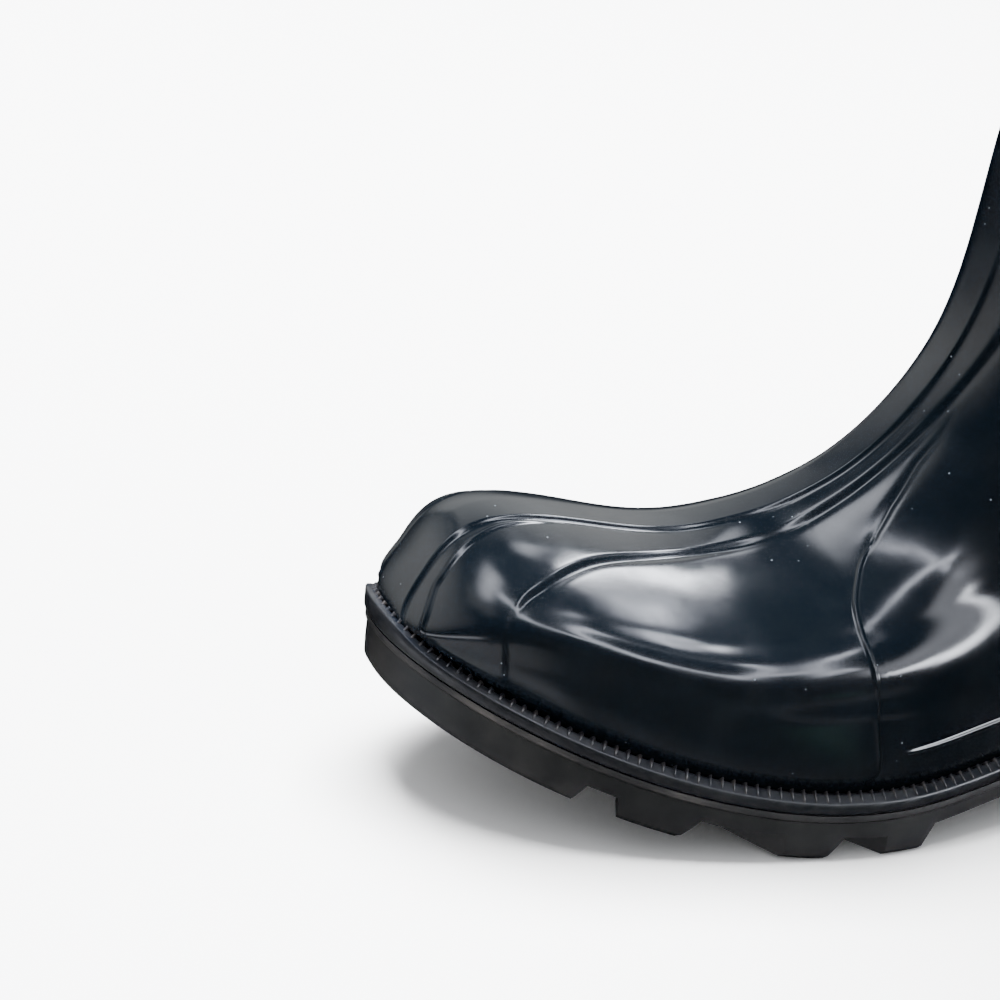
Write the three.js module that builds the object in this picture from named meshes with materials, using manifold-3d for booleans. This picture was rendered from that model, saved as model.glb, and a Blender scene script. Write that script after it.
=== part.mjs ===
// A moulded rubber mining boot for the left foot: lugged outsole, knurled welt, hollow one-piece upper
// and insole. Millimetres, +Z up, toe towards -Y, the outer side of the foot towards +X, origin on the
// floor under the middle of the sole.
import * as THREE from "three";
import { mergeVertices } from "three/addons/utils/BufferGeometryUtils.js";
import Module from "manifold-3d";

const wasm = await Module();
wasm.setup();

// Driving dimensions
const BOOT_LENGTH = 300; // tip of the welt to its heel end
const BALL_WIDTH = 110; // widest part of the welt
const HEEL_WIDTH = 73;
const BOOT_HEIGHT = 385; // floor to the front of the collar
const INSTEP_RISE = 96; // welt to the bend between foot and shaft
const SOLE_THICKNESS = 18.2; // lug face to the top of the welt at the ball
const HEEL_HEIGHT = 30; // floor to the top of the welt at the heel
const TOE_SPRING = 30.2; // how far the welt's tip stands above the ball
const WALL = 2.4;
const WELT_THICKNESS = 5.5;
const WELT_LEDGE = 5; // welt's edge to the upper
const WELT_BEVEL = 0.8;
const SOLE_INSET = 1.1; // the sole's side stands back from the welt
const SOLE_STEP_HEIGHT = 2.2; // thin raised course under the welt
const LUG_DEPTH = 5.4;
const ARCH_CLEARANCE = 11.8; // top of the welt to the underside of the arch
const BAND_WIDTH = 19.6; // raised strip along the middle of toe, instep and shaft
const BAND_RISE = 0.9;
const CAP_RISE = 0.8; // toe cap and instep panel
const STEP_RUN = 0.9; // width of the slope at a raised edge
const RIM_HEIGHT = 11; // thickened top of the shaft
const RIM_RISE = 1.1;
const RIB_RADIUS = 1.6; // moulded ribs at ankle and heel
const RIB_SUNK = 1; // depth of a rib's centre under the skin
const HEEL_LINE_HEIGHT = 8.3; // heel rib above the welt
const INSOLE_THICKNESS = 4;
const INSOLE_CLEARANCE = 1;
const GAP = 0.3; // between pieces that meet

// Half outlines of the welt. widest and waist are shares of the length, narrowing is a share of the
// ball width.
const TIP_SHIFT = 0.0755 * BALL_WIDTH; // the tip lies towards the big toe
const OUTLINE = {
  outer: { sign: 1, widest: 0.377, power: 2.1, narrowing: 0.16, waist: 0.26, heelShift: 1 },
  inner: { sign: -1, widest: 0.32, power: 2.3, narrowing: 0.205, waist: 0.267, heelShift: -1 },
};
const HEEL_BLEND = 0.167 * BOOT_LENGTH; // waist to full heel width
const HEEL_ROUND = 0.187 * BOOT_LENGTH; // length of the rounded heel end
const HEEL_POWER = 2.4;

// Welt height along the foot, as shares of the length.
const SPRING_END = 0.367 * BOOT_LENGTH;
const SPRING_POWER = 1.7;
const HEEL_RISE_START = 0.393 * BOOT_LENGTH;
const HEEL_RISE_RUN = 0.44 * BOOT_LENGTH;

// Sections of the upper from the toe over the instep, then up the shaft to the collar.
// front, back: where the section's plane meets the ridge and the welt or heel, as shares of the length.
// rise: height of the ridge over the welt, 0 to 1 up to the instep bend and 1 to 2 from there to the collar.
// backRise: height of the back over the welt, as a share of the way from the heel to the collar.
// ridge, outer, inner: the ridge's place and the half widths, as shares of the ball width.
// follow: how much of the welt's own half width is added. deepOut, deepIn: depth of the widest point.
// roundOut, roundIn: fullness.
const COLUMNS = ["front", "rise", "ridge", "back", "backRise", "follow", "outer", "inner",
  "deepOut", "deepIn", "roundOut", "roundIn"];
const FOOT_SECTIONS = [
  [0.0167, 0.0, -0.036, 0.0207, 0, 1, 0.0, 0.0, 0.5, 0.5, 2.0, 2.0],
  [0.0218, 0.045, -0.081, 0.0367, 0, 1, 0.0055, 0.0055, 0.45, 0.45, 2.1, 2.1],
  [0.0398, 0.154, -0.108, 0.0633, 0, 1, 0.011, 0.011, 0.45, 0.39, 2.17, 1.8],
  [0.065, 0.275, -0.127, 0.1, 0, 1, 0.0145, 0.0175, 0.45, 0.31, 2.1, 1.7],
  [0.1087, 0.368, -0.14, 0.1433, 0, 1, 0.0165, 0.014, 0.46, 0.31, 2.11, 1.62],
  [0.1763, 0.417, -0.15, 0.2, 0, 1, 0.018, -0.008, 0.48, 0.4, 2.18, 1.55],
  [0.2537, 0.45, -0.153, 0.2733, 0, 1, 0.018, -0.03, 0.5, 0.5, 2.25, 1.5],
  [0.3293, 0.529, -0.143, 0.36, 0, 1, 0.018, -0.035, 0.5, 0.56, 2.27, 1.48],
  [0.3967, 0.648, -0.114, 0.4567, 0, 0.9, 0.0545, 0.0, 0.48, 0.53, 2.22, 1.5],
  [0.4507, 0.813, -0.093, 0.56, 0, 0.6, 0.1545, 0.102, 0.46, 0.5, 2.29, 1.52],
  [0.488, 1.0, -0.075, 0.6633, 0, 0.3, 0.259, 0.212, 0.45, 0.48, 2.35, 1.55],
  [0.507, 1.071, -0.053, 0.7667, 0, 0.1, 0.3365, 0.304, 0.45, 0.45, 2.31, 1.65],
  [0.5157, 1.144, -0.038, 0.86, 0, 0, 0.382, 0.359, 0.45, 0.44, 2.28, 1.75],
  [0.521, 1.214, -0.023, 0.94, 0, 0, 0.4, 0.384, 0.46, 0.45, 2.25, 1.8],
  [0.5303, 1.285, -0.011, 0.9833, 0, 0, 0.418, 0.405, 0.47, 0.47, 2.1, 1.9],
];
const SHAFT_SECTIONS = [
  [0.5383, 1.369, -0.004, 0.9967, 0.127, 0, 0.436, 0.423, 0.49, 0.49, 2.0, 2.0],
  [0.5417, 1.515, 0.0, 0.97, 0.338, 0, 0.457, 0.448, 0.5, 0.5, 2.0, 2.0],
  [0.54, 1.739, 0.0, 0.9633, 0.634, 0, 0.48, 0.478, 0.5, 0.5, 2.0, 2.0],
  [0.5333, 2.0, 0.0, 0.9767, 0.963, 0, 0.515, 0.515, 0.5, 0.5, 2.0, 2.0],
];
const SECTIONS = [...FOOT_SECTIONS, ...SHAFT_SECTIONS];
const LAST_STATION = SECTIONS.length - 1;
const CLOSING_STATION = FOOT_SECTIONS.length - 1; // from here on the sections close behind the heel

// Stations where the faceted skin has a row, closest where it bends most.
const ROW_STEPS = [
  { from: 0, to: 2, step: 0.4 },
  { from: 2, to: CLOSING_STATION - 1, step: 0.5 },
  { from: CLOSING_STATION - 1, to: CLOSING_STATION + 0.5, step: 0.25 },
  { from: CLOSING_STATION + 0.5, to: LAST_STATION, step: 0.5 },
];
const CAP_COLUMNS = 3;
const SIDE_COLUMNS = 9;
const SOLE_STEPS = 44; // facets along each side of sole and welt
const INSOLE_STEPS = 24;

// Lower edge of the toe cap and instep panel: station, and share of the way from the band to the welt.
const CAP_EDGE = [
  [2.58, 1.0], [2.9, 0.685], [3.4, 0.523], [4.0, 0.41], [4.9, 0.248], [5.6, 0.178], [6.7, 0.12],
  [7.9, 0.085], [9.3, 0.072], [10.6, 0.08], [LAST_STATION, 0.09],
];
// Hollow on each side between the ball of the foot and the instep, and the full shoulder below it: the
// stations over which they grow and fade, and their middle and half width as shares of the way from the
// band to the welt.
const SADDLE_DEPTH = 4;
const SHOULDER_RISE = 2.8;
const SADDLE = { start: 1.25, full: 9.25, fade: 7.4, end: 10.9, width: 0.36 };
const SADDLE_MIDDLE = [
  [5, 0.538], [6, 0.523], [7, 0.33], [8, 0.383], [8.8, 0.438],
];
const SHOULDER = { middle: 0.676, width: 0.134 };
// Rib at the ankle, from the welt up: station, and share of the way from the band to the welt.
const ANKLE_RIB = [
  [7.32, 0.995], [7.4, 0.95], [7.4, 0.85], [7.37, 0.7], [7.4, 0.55], [7.5, 0.44], [7.65, 0.364],
  [7.85, 0.3], [8.1, 0.24], [8.4, 0.19], [8.9, 0.146],
];

// The ribs' facets and the points of the line round the heel
const HEEL_LINE_START = 7.5; // station at the ankle rib
const HEEL_LINE_SHARE = 0.5; // the line lies below this share of the way from the band to the welt
const HEEL_POINTS = 7; // from one station before the sections close to the back of the heel
const RIB_FACET = 5;
const RIB_SIDES = 8;
const SMALL_STEP = 0.02; // of a station or share, to find the way the skin faces
const HALVINGS = 24;

// Gaps between the lugs, as shares of the length at the sole's edge. From there each runs inwards on its
// slope, towards the toe where that is positive, and then straight across.
const CHEVRON_SLOPE = 0.72;
const LUG_GAPS = [
  { start: 0.132, end: 0.173, slope: -CHEVRON_SLOPE / 2 },
  { start: 0.233, end: 0.313, slope: CHEVRON_SLOPE },
  { start: 0.356, end: 0.411, slope: CHEVRON_SLOPE },
  { start: 0.785, end: 0.83, slope: CHEVRON_SLOPE },
  { start: 0.892, end: 0.932, slope: CHEVRON_SLOPE },
];
const CHEVRON_RUN = 0.24 * BALL_WIDTH; // from the sole's edge to where a gap turns straight across
const ARCH = { start: 0.442, end: 0.69, slope: 0 };
const LUG_SLOPE = 4; // a lug's heel side leans back by this much from its face to the roof of the gap
const LUG_EDGE = 1; // bevel round the foot of the sole's side

const clamp = (value, low, high) => Math.min(Math.max(value, low), high);
const smooth = (value) => {
  const t = clamp(value, 0, 1);
  return t * t * (3 - 2 * t);
};

// Natural cubic curve through evenly spaced values.
function naturalSpline(values) {
  const n = values.length;
  const upper = new Array(n).fill(0);
  const right = new Array(n).fill(0);
  for (let i = 1; i < n - 1; i++) {
    const pivot = 4 - upper[i - 1];
    upper[i] = 1 / pivot;
    right[i] = (6 * (values[i + 1] - 2 * values[i] + values[i - 1]) - right[i - 1]) / pivot;
  }
  const bend = new Array(n).fill(0);
  for (let i = n - 2; i > 0; i--) bend[i] = right[i] - upper[i] * bend[i + 1];
  return (at) => {
    const k = clamp(Math.floor(at), 0, n - 2);
    const t = at - k;
    const u = 1 - t;
    return u * values[k] + t * values[k + 1] + ((u ** 3 - u) * bend[k] + (t ** 3 - t) * bend[k + 1]) / 6;
  };
}

// Slow start over the first unit, then the value itself.
const easeIn = (value) => (value < 1 ? value * value * (2 - value) : value);

// Straight-line lookup in a table of [key, value] rows.
function lookup(table, key) {
  if (key <= table[0][0]) return table[0][1];
  for (let i = 1; i < table.length; i++) {
    const [k0, v0] = table[i - 1];
    const [k1, v1] = table[i];
    if (key <= k1) return v0 + ((v1 - v0) * (key - k0)) / (k1 - k0);
  }
  return table[table.length - 1][1];
}

// Half width of the foot at a distance from the tip, for a line that lies inset inside the welt's edge.
function halfWidth(along, side, inset) {
  const widest = side.widest * BOOT_LENGTH;
  const reach = BALL_WIDTH / 2 + side.sign * TIP_SHIFT - inset;
  const toe = clamp((along - inset) / (widest - inset), 0, 1);
  const waist = clamp((along - widest) / (side.waist * BOOT_LENGTH), 0, 1);
  const narrowing = (side.narrowing * BALL_WIDTH * (1 - Math.cos(Math.PI * waist))) / 2;
  let width = along < widest ? reach * (1 - (1 - toe) ** side.power) ** (1 / side.power) : reach - narrowing;
  width -= side.sign * TIP_SHIFT;
  const heelWidth = HEEL_WIDTH / 2 + side.heelShift - inset;
  const heelShare = smooth((along - widest - side.waist * BOOT_LENGTH) / HEEL_BLEND);
  width += (heelWidth - width) * heelShare;
  const roundStart = BOOT_LENGTH - HEEL_ROUND;
  const round = clamp((along - roundStart) / (HEEL_ROUND - inset), 0, 1);
  return along > roundStart ? width * (1 - round ** HEEL_POWER) ** (1 / HEEL_POWER) : width;
}

// Top of the welt over the floor.
function weltHeight(along) {
  const ball = SOLE_THICKNESS - GAP;
  const spring = TOE_SPRING * clamp(1 - along / SPRING_END, 0, 1) ** SPRING_POWER;
  return ball + spring + (HEEL_HEIGHT - ball) * smooth((along - HEEL_RISE_START) / HEEL_RISE_RUN);
}

const [FRONT, RISE, BACK_RISE] = ["front", "rise", "backRise"].map((name) => COLUMNS.indexOf(name));
const column = Object.fromEntries(
  COLUMNS.map((name, i) => [name, naturalSpline(SECTIONS.map((row) => row[i]))]),
);
const backRise = naturalSpline(SECTIONS.slice(CLOSING_STATION).map((row) => row[BACK_RISE]));
const shaftRise = BOOT_HEIGHT - INSTEP_RISE - weltHeight(SECTIONS[LAST_STATION][FRONT] * BOOT_LENGTH);
const ridgeRise = naturalSpline(SECTIONS.map((row) => {
  return INSTEP_RISE * Math.min(row[RISE], 1) + shaftRise * Math.max(row[RISE] - 1, 0);
}));

// One side of the section at a station, from the ridge down to the welt or the back, as points with their arc length.
const SECTION_POINTS = 60;
const HEEL_FADE = 1.6; // stations over which the heel's outline gives way to the oval shaft
function halfSection(station, side) {
  const front = column.front(station) * BOOT_LENGTH;
  const back = column.back(station) * BOOT_LENGTH;
  const frontZ = weltHeight(front) + ridgeRise(station);
  const climb = station > CLOSING_STATION ? backRise(easeIn(station - CLOSING_STATION)) : 0;
  const heelEnd = BOOT_LENGTH - WELT_LEDGE;
  const backZ = weltHeight(Math.min(back, heelEnd)) + climb * (BOOT_HEIGHT - HEEL_HEIGHT);
  const foot = station >= CLOSING_STATION ? 0 : halfWidth(Math.min(back, heelEnd), side, WELT_LEDGE);
  const outer = side.sign > 0;
  const width = column.follow(station) * foot + (outer ? column.outer : column.inner)(station) * BALL_WIDTH;
  const depth = (outer ? column.deepOut : column.deepIn)(station);
  const fullness = (outer ? column.roundOut : column.roundIn)(station);
  const ridge = side.sign * column.ridge(station) * BALL_WIDTH;
  const widest = front + (back - front) * depth;
  const bulge = width - halfWidth(Math.min(widest, heelEnd), side, WELT_LEDGE);
  const footShare = 1 - smooth((station - CLOSING_STATION) / HEEL_FADE);
  const points = [];
  const lengths = [];
  for (let i = 0; i <= 2 * SECTION_POINTS; i++) {
    const upper = i <= SECTION_POINTS;
    const angle = ((upper ? i : i - SECTION_POINTS) / SECTION_POINTS) * (Math.PI / 2);
    const sine = Math.sin(angle);
    const cosine = Math.max(Math.cos(angle), 0);
    const down = upper ? depth * (1 - cosine ** (2 / fullness)) : depth + (1 - depth) * sine;
    let x = ridge + (width - ridge) * sine ** (2 / fullness);
    if (!upper) {
      const along = Math.min(widest + (back - widest) * sine * sine * (2 - sine), heelEnd);
      const footForm = halfWidth(along, side, WELT_LEDGE) + bulge * cosine * cosine;
      x = footShare * footForm + (1 - footShare) * width * cosine;
    }
    const point = new THREE.Vector3(side.sign * x, front + (back - front) * down - BOOT_LENGTH / 2,
      frontZ + (backZ - frontZ) * down);
    lengths.push(i ? lengths[i - 1] + point.distanceTo(points[i - 1]) : 0);
    points.push(point);
  }
  return { points, lengths, total: lengths[lengths.length - 1] };
}

function pointAt(half, arc) {
  const { points, lengths, total } = half;
  const wanted = clamp(arc, 0, total);
  let i = 1;
  while (i < lengths.length - 1 && lengths[i] < wanted) i++;
  const t = (wanted - lengths[i - 1]) / Math.max(lengths[i] - lengths[i - 1], 1e-9);
  return points[i - 1].clone().lerp(points[i], t);
}

// Round hump across a line, from 1 on it to 0 at its half width.
const hump = (distance, width) => Math.max(0, 1 - (distance / width) ** 2) ** 2;

// Depth of the hollow, less the fullness of the shoulder, at a station and a share of the way from the
// band to the welt.
function saddle(station, share) {
  const growing = smooth((station - SADDLE.start) / (SADDLE.full - SADDLE.start));
  const fading = smooth((SADDLE.end - station) / (SADDLE.end - SADDLE.fade));
  const sunk = SADDLE_DEPTH * hump(share - lookup(SADDLE_MIDDLE, station), SADDLE.width);
  return growing * fading * (sunk - SHOULDER_RISE * hump(share - SHOULDER.middle, SHOULDER.width));
}

// Arc lengths of the skin's columns on one side, with how far the skin stands out or sinks in there.
function columnArcs(half, station) {
  const band = Math.min(BAND_WIDTH / 2, half.total);
  const edge = band + lookup(CAP_EDGE, station) * (half.total - band);
  const rim = RIM_RISE * smooth((station - rimStation) / RIM_STEP);
  const arcs = [0, band / 2, band, band + STEP_RUN];
  for (let i = 1; i <= CAP_COLUMNS; i++) {
    arcs.push(Math.max(band + STEP_RUN + ((edge - band - STEP_RUN) * i) / CAP_COLUMNS, arcs[arcs.length - 1]));
  }
  const sideStart = edge + STEP_RUN;
  for (let i = 0; i <= SIDE_COLUMNS; i++) {
    arcs.push(sideStart + ((half.total - sideStart) * i) / SIDE_COLUMNS);
  }
  return arcs.map((arc) => {
    const at = Math.min(arc, half.total);
    const onBand = 1 - clamp((at - band) / STEP_RUN, 0, 1);
    const onCap = 1 - clamp((at - edge) / STEP_RUN, 0, 1);
    const sink = saddle(station, (at - band) / Math.max(half.total - band, SMALL_STEP));
    return { at, out: BAND_RISE * onBand + CAP_RISE * onCap + rim, sink };
  });
}

const RIM_STEP = 0.02;
const topShare = SECTIONS[LAST_STATION][RISE] - SECTIONS[LAST_STATION - 1][RISE];
const topRun = shaftRise * topShare;
const rimStation = LAST_STATION - RIM_HEIGHT / topRun;

function rowStations() {
  const stations = [];
  for (const { from, to, step } of ROW_STEPS) {
    for (let s = from; s < to - step / 2; s += step) stations.push(s);
  }
  return [...stations, rimStation, rimStation + RIM_STEP, LAST_STATION];
}

// The upper's skin as shared vertices and triangles, open at the collar and along the welt.
function skin() {
  const vertices = [];
  const index = new Map();
  const addVertex = (point, out, sink, foot) => {
    const key = point.toArray().map((value) => Math.round(value * 1e3)).join();
    if (!index.has(key)) {
      index.set(key, vertices.length);
      vertices.push({ point, out, sink, foot, normal: new THREE.Vector3() });
    }
    return index.get(key);
  };
  const grid = rowStations().map((station) => {
    const row = [];
    for (const side of [OUTLINE.inner, OUTLINE.outer]) {
      const half = halfSection(station, side);
      const arcs = columnArcs(half, station);
      const ids = arcs.map(({ at, out, sink }) => {
        const onWelt = station <= CLOSING_STATION && (station === 0 || at >= half.total - 1e-6);
        return addVertex(pointAt(half, at), out, sink, onWelt);
      });
      if (side.sign < 0) row.push(...ids.reverse());
      else row.push(...ids.slice(1));
    }
    return row;
  });
  const triangles = [];
  const addTriangle = (a, b, c) => {
    if (a !== b && b !== c && c !== a) triangles.push([a, b, c]);
  };
  for (let i = 1; i < grid.length; i++) {
    for (let j = 1; j < grid[i].length; j++) {
      addTriangle(grid[i - 1][j - 1], grid[i - 1][j], grid[i][j]);
      addTriangle(grid[i - 1][j - 1], grid[i][j], grid[i][j - 1]);
    }
  }
  return { vertices, triangles };
}

function edgeLoops(triangles) {
  const edges = new Map();
  for (const [a, b, c] of triangles) {
    for (const [p, q] of [[a, b], [b, c], [c, a]]) {
      if (edges.has(`${q},${p}`)) edges.delete(`${q},${p}`);
      else edges.set(`${p},${q}`, [p, q]);
    }
  }
  return [...edges.values()];
}

// Closed wall around the skin: swell is added outside, and the foot of the wall reaches drop below the
// welt's top.
function upperShell(swell, drop) {
  const { vertices, triangles } = skin();
  const cross = new THREE.Vector3();
  const ab = new THREE.Vector3();
  const ac = new THREE.Vector3();
  for (const [a, b, c] of triangles) {
    ab.subVectors(vertices[b].point, vertices[a].point);
    ac.subVectors(vertices[c].point, vertices[a].point);
    cross.crossVectors(ab, ac);
    for (const id of [a, b, c]) vertices[id].normal.add(cross);
  }
  const rim = edgeLoops(triangles);
  for (const id of new Set(rim.flat())) vertices[id].normal.z = 0;
  for (const vertex of vertices) vertex.normal.normalize();
  const skirt = new Map();
  const lower = (id) => {
    if (!skirt.has(id)) {
      skirt.set(id, vertices.length);
      vertices.push({ ...vertices[id], onSole: true });
    }
    return skirt.get(id);
  };
  for (const [p, q] of rim) {
    if (!vertices[p].foot || !vertices[q].foot) continue;
    triangles.push([q, p, lower(p)], [q, lower(p), lower(q)]);
  }
  const count = vertices.length;
  const placed = ({ point, normal, sink, onSole }, out) => {
    const moved = point.clone().addScaledVector(normal, out - sink);
    if (onSole) moved.z = weltHeight(moved.y + BOOT_LENGTH / 2) - drop;
    return moved.toArray();
  };
  const outside = vertices.flatMap((vertex) => placed(vertex, vertex.out + swell));
  const inside = vertices.flatMap((vertex) => placed(vertex, -WALL));
  const faces = [];
  for (const [a, b, c] of triangles) faces.push(a, b, c, a + count, c + count, b + count);
  for (const [p, q] of edgeLoops(triangles)) faces.push(q, p, p + count, q, p + count, q + count);
  return solidFrom([...outside, ...inside], faces);
}

function solidFrom(positions, faces) {
  const geometry = new THREE.BufferGeometry();
  geometry.setAttribute("position", new THREE.Float32BufferAttribute(positions, 3));
  geometry.setIndex(faces);
  return solidOf(geometry);
}

function solidOf(geometry) {
  geometry.deleteAttribute("normal");
  geometry.deleteAttribute("uv");
  const merged = mergeVertices(geometry, 1e-4);
  const vertProperties = merged.attributes.position.array;
  const triVerts = new Uint32Array(merged.index.array);
  return new wasm.Manifold(new wasm.Mesh({ numProp: 3, vertProperties, triVerts }));
}

function meshOf(solid, name, material) {
  const { vertProperties, triVerts } = solid.getMesh();
  const geometry = new THREE.BufferGeometry();
  geometry.setAttribute("position", new THREE.BufferAttribute(new Float32Array(vertProperties), 3));
  geometry.setIndex(new THREE.BufferAttribute(new Uint32Array(triVerts), 1));
  geometry.computeVertexNormals();
  const mesh = new THREE.Mesh(geometry, material);
  mesh.name = name;
  return mesh;
}

// Closed outline of the foot, inset from the welt's edge, as points [x, along] from the tip round the
// outer side and back.
function footLoop(inset, halfCount) {
  const loop = [];
  const span = BOOT_LENGTH - 2 * inset;
  const stops = Array.from({ length: halfCount + 1 }, (_, i) => {
    return inset + (span * (1 - Math.cos((Math.PI * i) / halfCount))) / 2;
  });
  for (const along of stops) loop.push([halfWidth(along, OUTLINE.outer, inset), along]);
  for (const along of stops.slice(1, -1).reverse()) {
    loop.push([-halfWidth(along, OUTLINE.inner, inset), along]);
  }
  return loop;
}

// Plate between stacked outlines. Each layer has its own inset and its height as a function of the
// distance from the tip.
function plate(layers, halfCount) {
  const positions = [];
  const faces = [];
  const size = 2 * halfCount;
  for (const { inset, height } of layers) {
    for (const [x, along] of footLoop(inset, halfCount)) {
      positions.push(x, along - BOOT_LENGTH / 2, height(along));
    }
  }
  for (let k = 1; k < layers.length; k++) {
    const low = (k - 1) * size;
    const high = k * size;
    for (let i = 0; i < size; i++) {
      const j = (i + 1) % size;
      faces.push(low + i, low + j, high + j, low + i, high + j, high + i);
    }
  }
  const top = (layers.length - 1) * size;
  for (let i = 0; i < halfCount; i++) {
    const a = i;
    const b = i + 1;
    const c = (size - i) % size;
    const d = size - i - 1;
    const quads = i === 0 ? [[a, b, d]] : i === halfCount - 1 ? [[a, b, c]] : [[a, b, d], [a, d, c]];
    for (const [p, q, r] of quads) {
      faces.push(p, r, q);
      faces.push(top + p, top + q, top + r);
    }
  }
  return solidFrom(positions, faces);
}

const soleTop = (along) => weltHeight(along) - WELT_THICKNESS - GAP;
const lugFace = (along) => Math.max(0, weltHeight(along) - SOLE_THICKNESS) * (along < SPRING_END ? 1 : 0);
const lugRoof = (along) => lugFace(along) + LUG_DEPTH;
const archRoof = (along) => weltHeight(along) - ARCH_CLEARANCE;

// Outline of a gap's section as [along, height]: its toe side is a lug's sloped heel side, and its heel
// side is upright.
function gapSection(from, to, roof) {
  return [
    [from, -SOLE_THICKNESS],
    [to, -SOLE_THICKNESS],
    [to, roof(to)],
    [from + LUG_SLOPE, roof(from + LUG_SLOPE)],
    [from, lugFace(from)],
  ];
}

// Cutter across the sole for a gap.
function soleCutter({ start, end, slope }, roof) {
  const positions = [];
  const across = [];
  for (const side of [OUTLINE.inner, OUTLINE.outer]) {
    const edge = halfWidth(((start + end) / 2) * BOOT_LENGTH, side, 0);
    for (const run of [CHEVRON_RUN, -CHEVRON_RUN]) {
      across.push({ x: side.sign * (edge + run), shift: -slope * run });
    }
  }
  across.sort((a, b) => a.x - b.x);
  let corners = 0;
  for (const { x, shift } of across) {
    const section = gapSection(start * BOOT_LENGTH - shift, end * BOOT_LENGTH - shift, roof);
    corners = section.length;
    for (const [along, z] of section) positions.push(x, along - BOOT_LENGTH / 2, z);
  }
  const faces = [];
  for (let r = 1; r < across.length; r++) {
    const row = (r - 1) * corners;
    for (let c = 0; c < corners; c++) {
      const a = row + c;
      const b = row + ((c + 1) % corners);
      faces.push(a, b, a + corners, b, b + corners, a + corners);
    }
  }
  const last = (across.length - 1) * corners;
  for (let c = 2; c < corners; c++) faces.push(0, c, c - 1, last, last + c - 1, last + c);
  return solidFrom(positions, faces);
}

function outsole() {
  const stepTop = (along) => soleTop(along) - SOLE_STEP_HEIGHT;
  let solid = plate([
    { inset: SOLE_INSET + LUG_EDGE, height: lugFace },
    { inset: SOLE_INSET, height: (along) => lugFace(along) + LUG_EDGE },
    { inset: SOLE_INSET, height: stepTop },
    { inset: SOLE_INSET / 2, height: (along) => stepTop(along) + SOLE_INSET / 2 },
    { inset: SOLE_INSET / 2, height: soleTop },
  ], SOLE_STEPS);
  for (const gap of LUG_GAPS) solid = solid.subtract(soleCutter(gap, lugRoof));
  return solid.subtract(soleCutter(ARCH, archRoof));
}

function welt() {
  const under = (along) => weltHeight(along) - WELT_THICKNESS;
  const ring = plate([
    { inset: WELT_BEVEL, height: under },
    { inset: 0, height: (along) => under(along) + WELT_BEVEL },
    { inset: 0, height: (along) => weltHeight(along) - WELT_BEVEL },
    { inset: WELT_BEVEL, height: weltHeight },
  ], SOLE_STEPS);
  const middle = WELT_LEDGE + WALL / 2;
  const core = plate([
    { inset: middle, height: (along) => under(along) - WELT_THICKNESS },
    { inset: middle, height: (along) => weltHeight(along) + WELT_THICKNESS },
  ], SOLE_STEPS);
  let wall = upperShell(GAP, WELT_THICKNESS + 2 * GAP);
  for (const side of [OUTLINE.outer, OUTLINE.inner]) wall = wall.add(ankleRib(side, GAP));
  const parts = ring.subtract(core).subtract(wall).decompose();
  return parts.reduce((a, b) => (a.volume() > b.volume() ? a : b));
}

function insole() {
  const inset = WELT_LEDGE + WALL + INSOLE_CLEARANCE;
  return plate([
    { inset, height: (along) => soleTop(along) + GAP },
    { inset, height: (along) => soleTop(along) + GAP + INSOLE_THICKNESS },
  ], INSOLE_STEPS);
}

// Round rib along a path on the skin, its centre a little below it.
function rib(path, swell) {
  const circle = new THREE.Shape();
  circle.absarc(0, 0, RIB_RADIUS + swell, 0, 2 * Math.PI);
  const curve = new THREE.CatmullRomCurve3(path);
  const steps = Math.ceil(curve.getLength() / RIB_FACET);
  const options = { steps, bevelEnabled: false, curveSegments: RIB_SIDES / 2, extrudePath: curve };
  return solidOf(new THREE.ExtrudeGeometry(circle, options));
}

// Point under the skin at a station and a share of the way from the band to the welt.
function sunkPoint(station, side, share) {
  const place = (s, r) => {
    const half = halfSection(s, side);
    const band = Math.min(BAND_WIDTH / 2, half.total);
    return pointAt(half, band + r * (half.total - band));
  };
  const point = place(station, share);
  const alongSkin = place(station + SMALL_STEP, share).sub(point);
  const acrossSkin = place(station, Math.max(share - SMALL_STEP, 0)).sub(point);
  const normal = alongSkin.cross(acrossSkin).multiplyScalar(side.sign).normalize();
  return point.addScaledVector(normal, -RIB_SUNK - saddle(station, share));
}

// Height of a point under the skin over the welt there.
function heightOverWelt(station, side, share) {
  const point = sunkPoint(station, side, share);
  return point.z - weltHeight(Math.min(point.y + BOOT_LENGTH / 2, BOOT_LENGTH));
}

// Value between high and low where the height passes a target. The height is above the target at high.
function whereHeightIs(target, high, low, height) {
  let above = high;
  let below = low;
  for (let i = 0; i < HALVINGS; i++) {
    const middle = (above + below) / 2;
    if (height(middle) > target) above = middle;
    else below = middle;
  }
  return above;
}

// The line round the heel keeps its height over the welt and closes behind the heel.
function heelRibPath() {
  const lineHeight = (height, high, low) => whereHeightIs(HEEL_LINE_HEIGHT, high, low, height);
  const backHeight = (station) => heightOverWelt(station, OUTLINE.outer, 1);
  const last = lineHeight(backHeight, CLOSING_STATION + 1, CLOSING_STATION);
  const stations = [];
  for (let s = HEEL_LINE_START; s < CLOSING_STATION - 1; s += ROW_STEPS[1].step) stations.push(s);
  const left = last - CLOSING_STATION + 1;
  for (let i = 0; i < HEEL_POINTS; i++) stations.push(CLOSING_STATION - 1 + (left * i) / HEEL_POINTS);
  const trace = (side) => stations.map((station) => {
    const share = lineHeight((value) => heightOverWelt(station, side, value), HEEL_LINE_SHARE, 1);
    return sunkPoint(station, side, share);
  });
  const back = sunkPoint(last, OUTLINE.outer, 1).setX(0);
  return [...trace(OUTLINE.outer), back, ...trace(OUTLINE.inner).reverse()];
}

function ankleRib(side, swell) {
  return rib(ANKLE_RIB.map(([station, share]) => sunkPoint(station, side, share)), swell);
}

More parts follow.
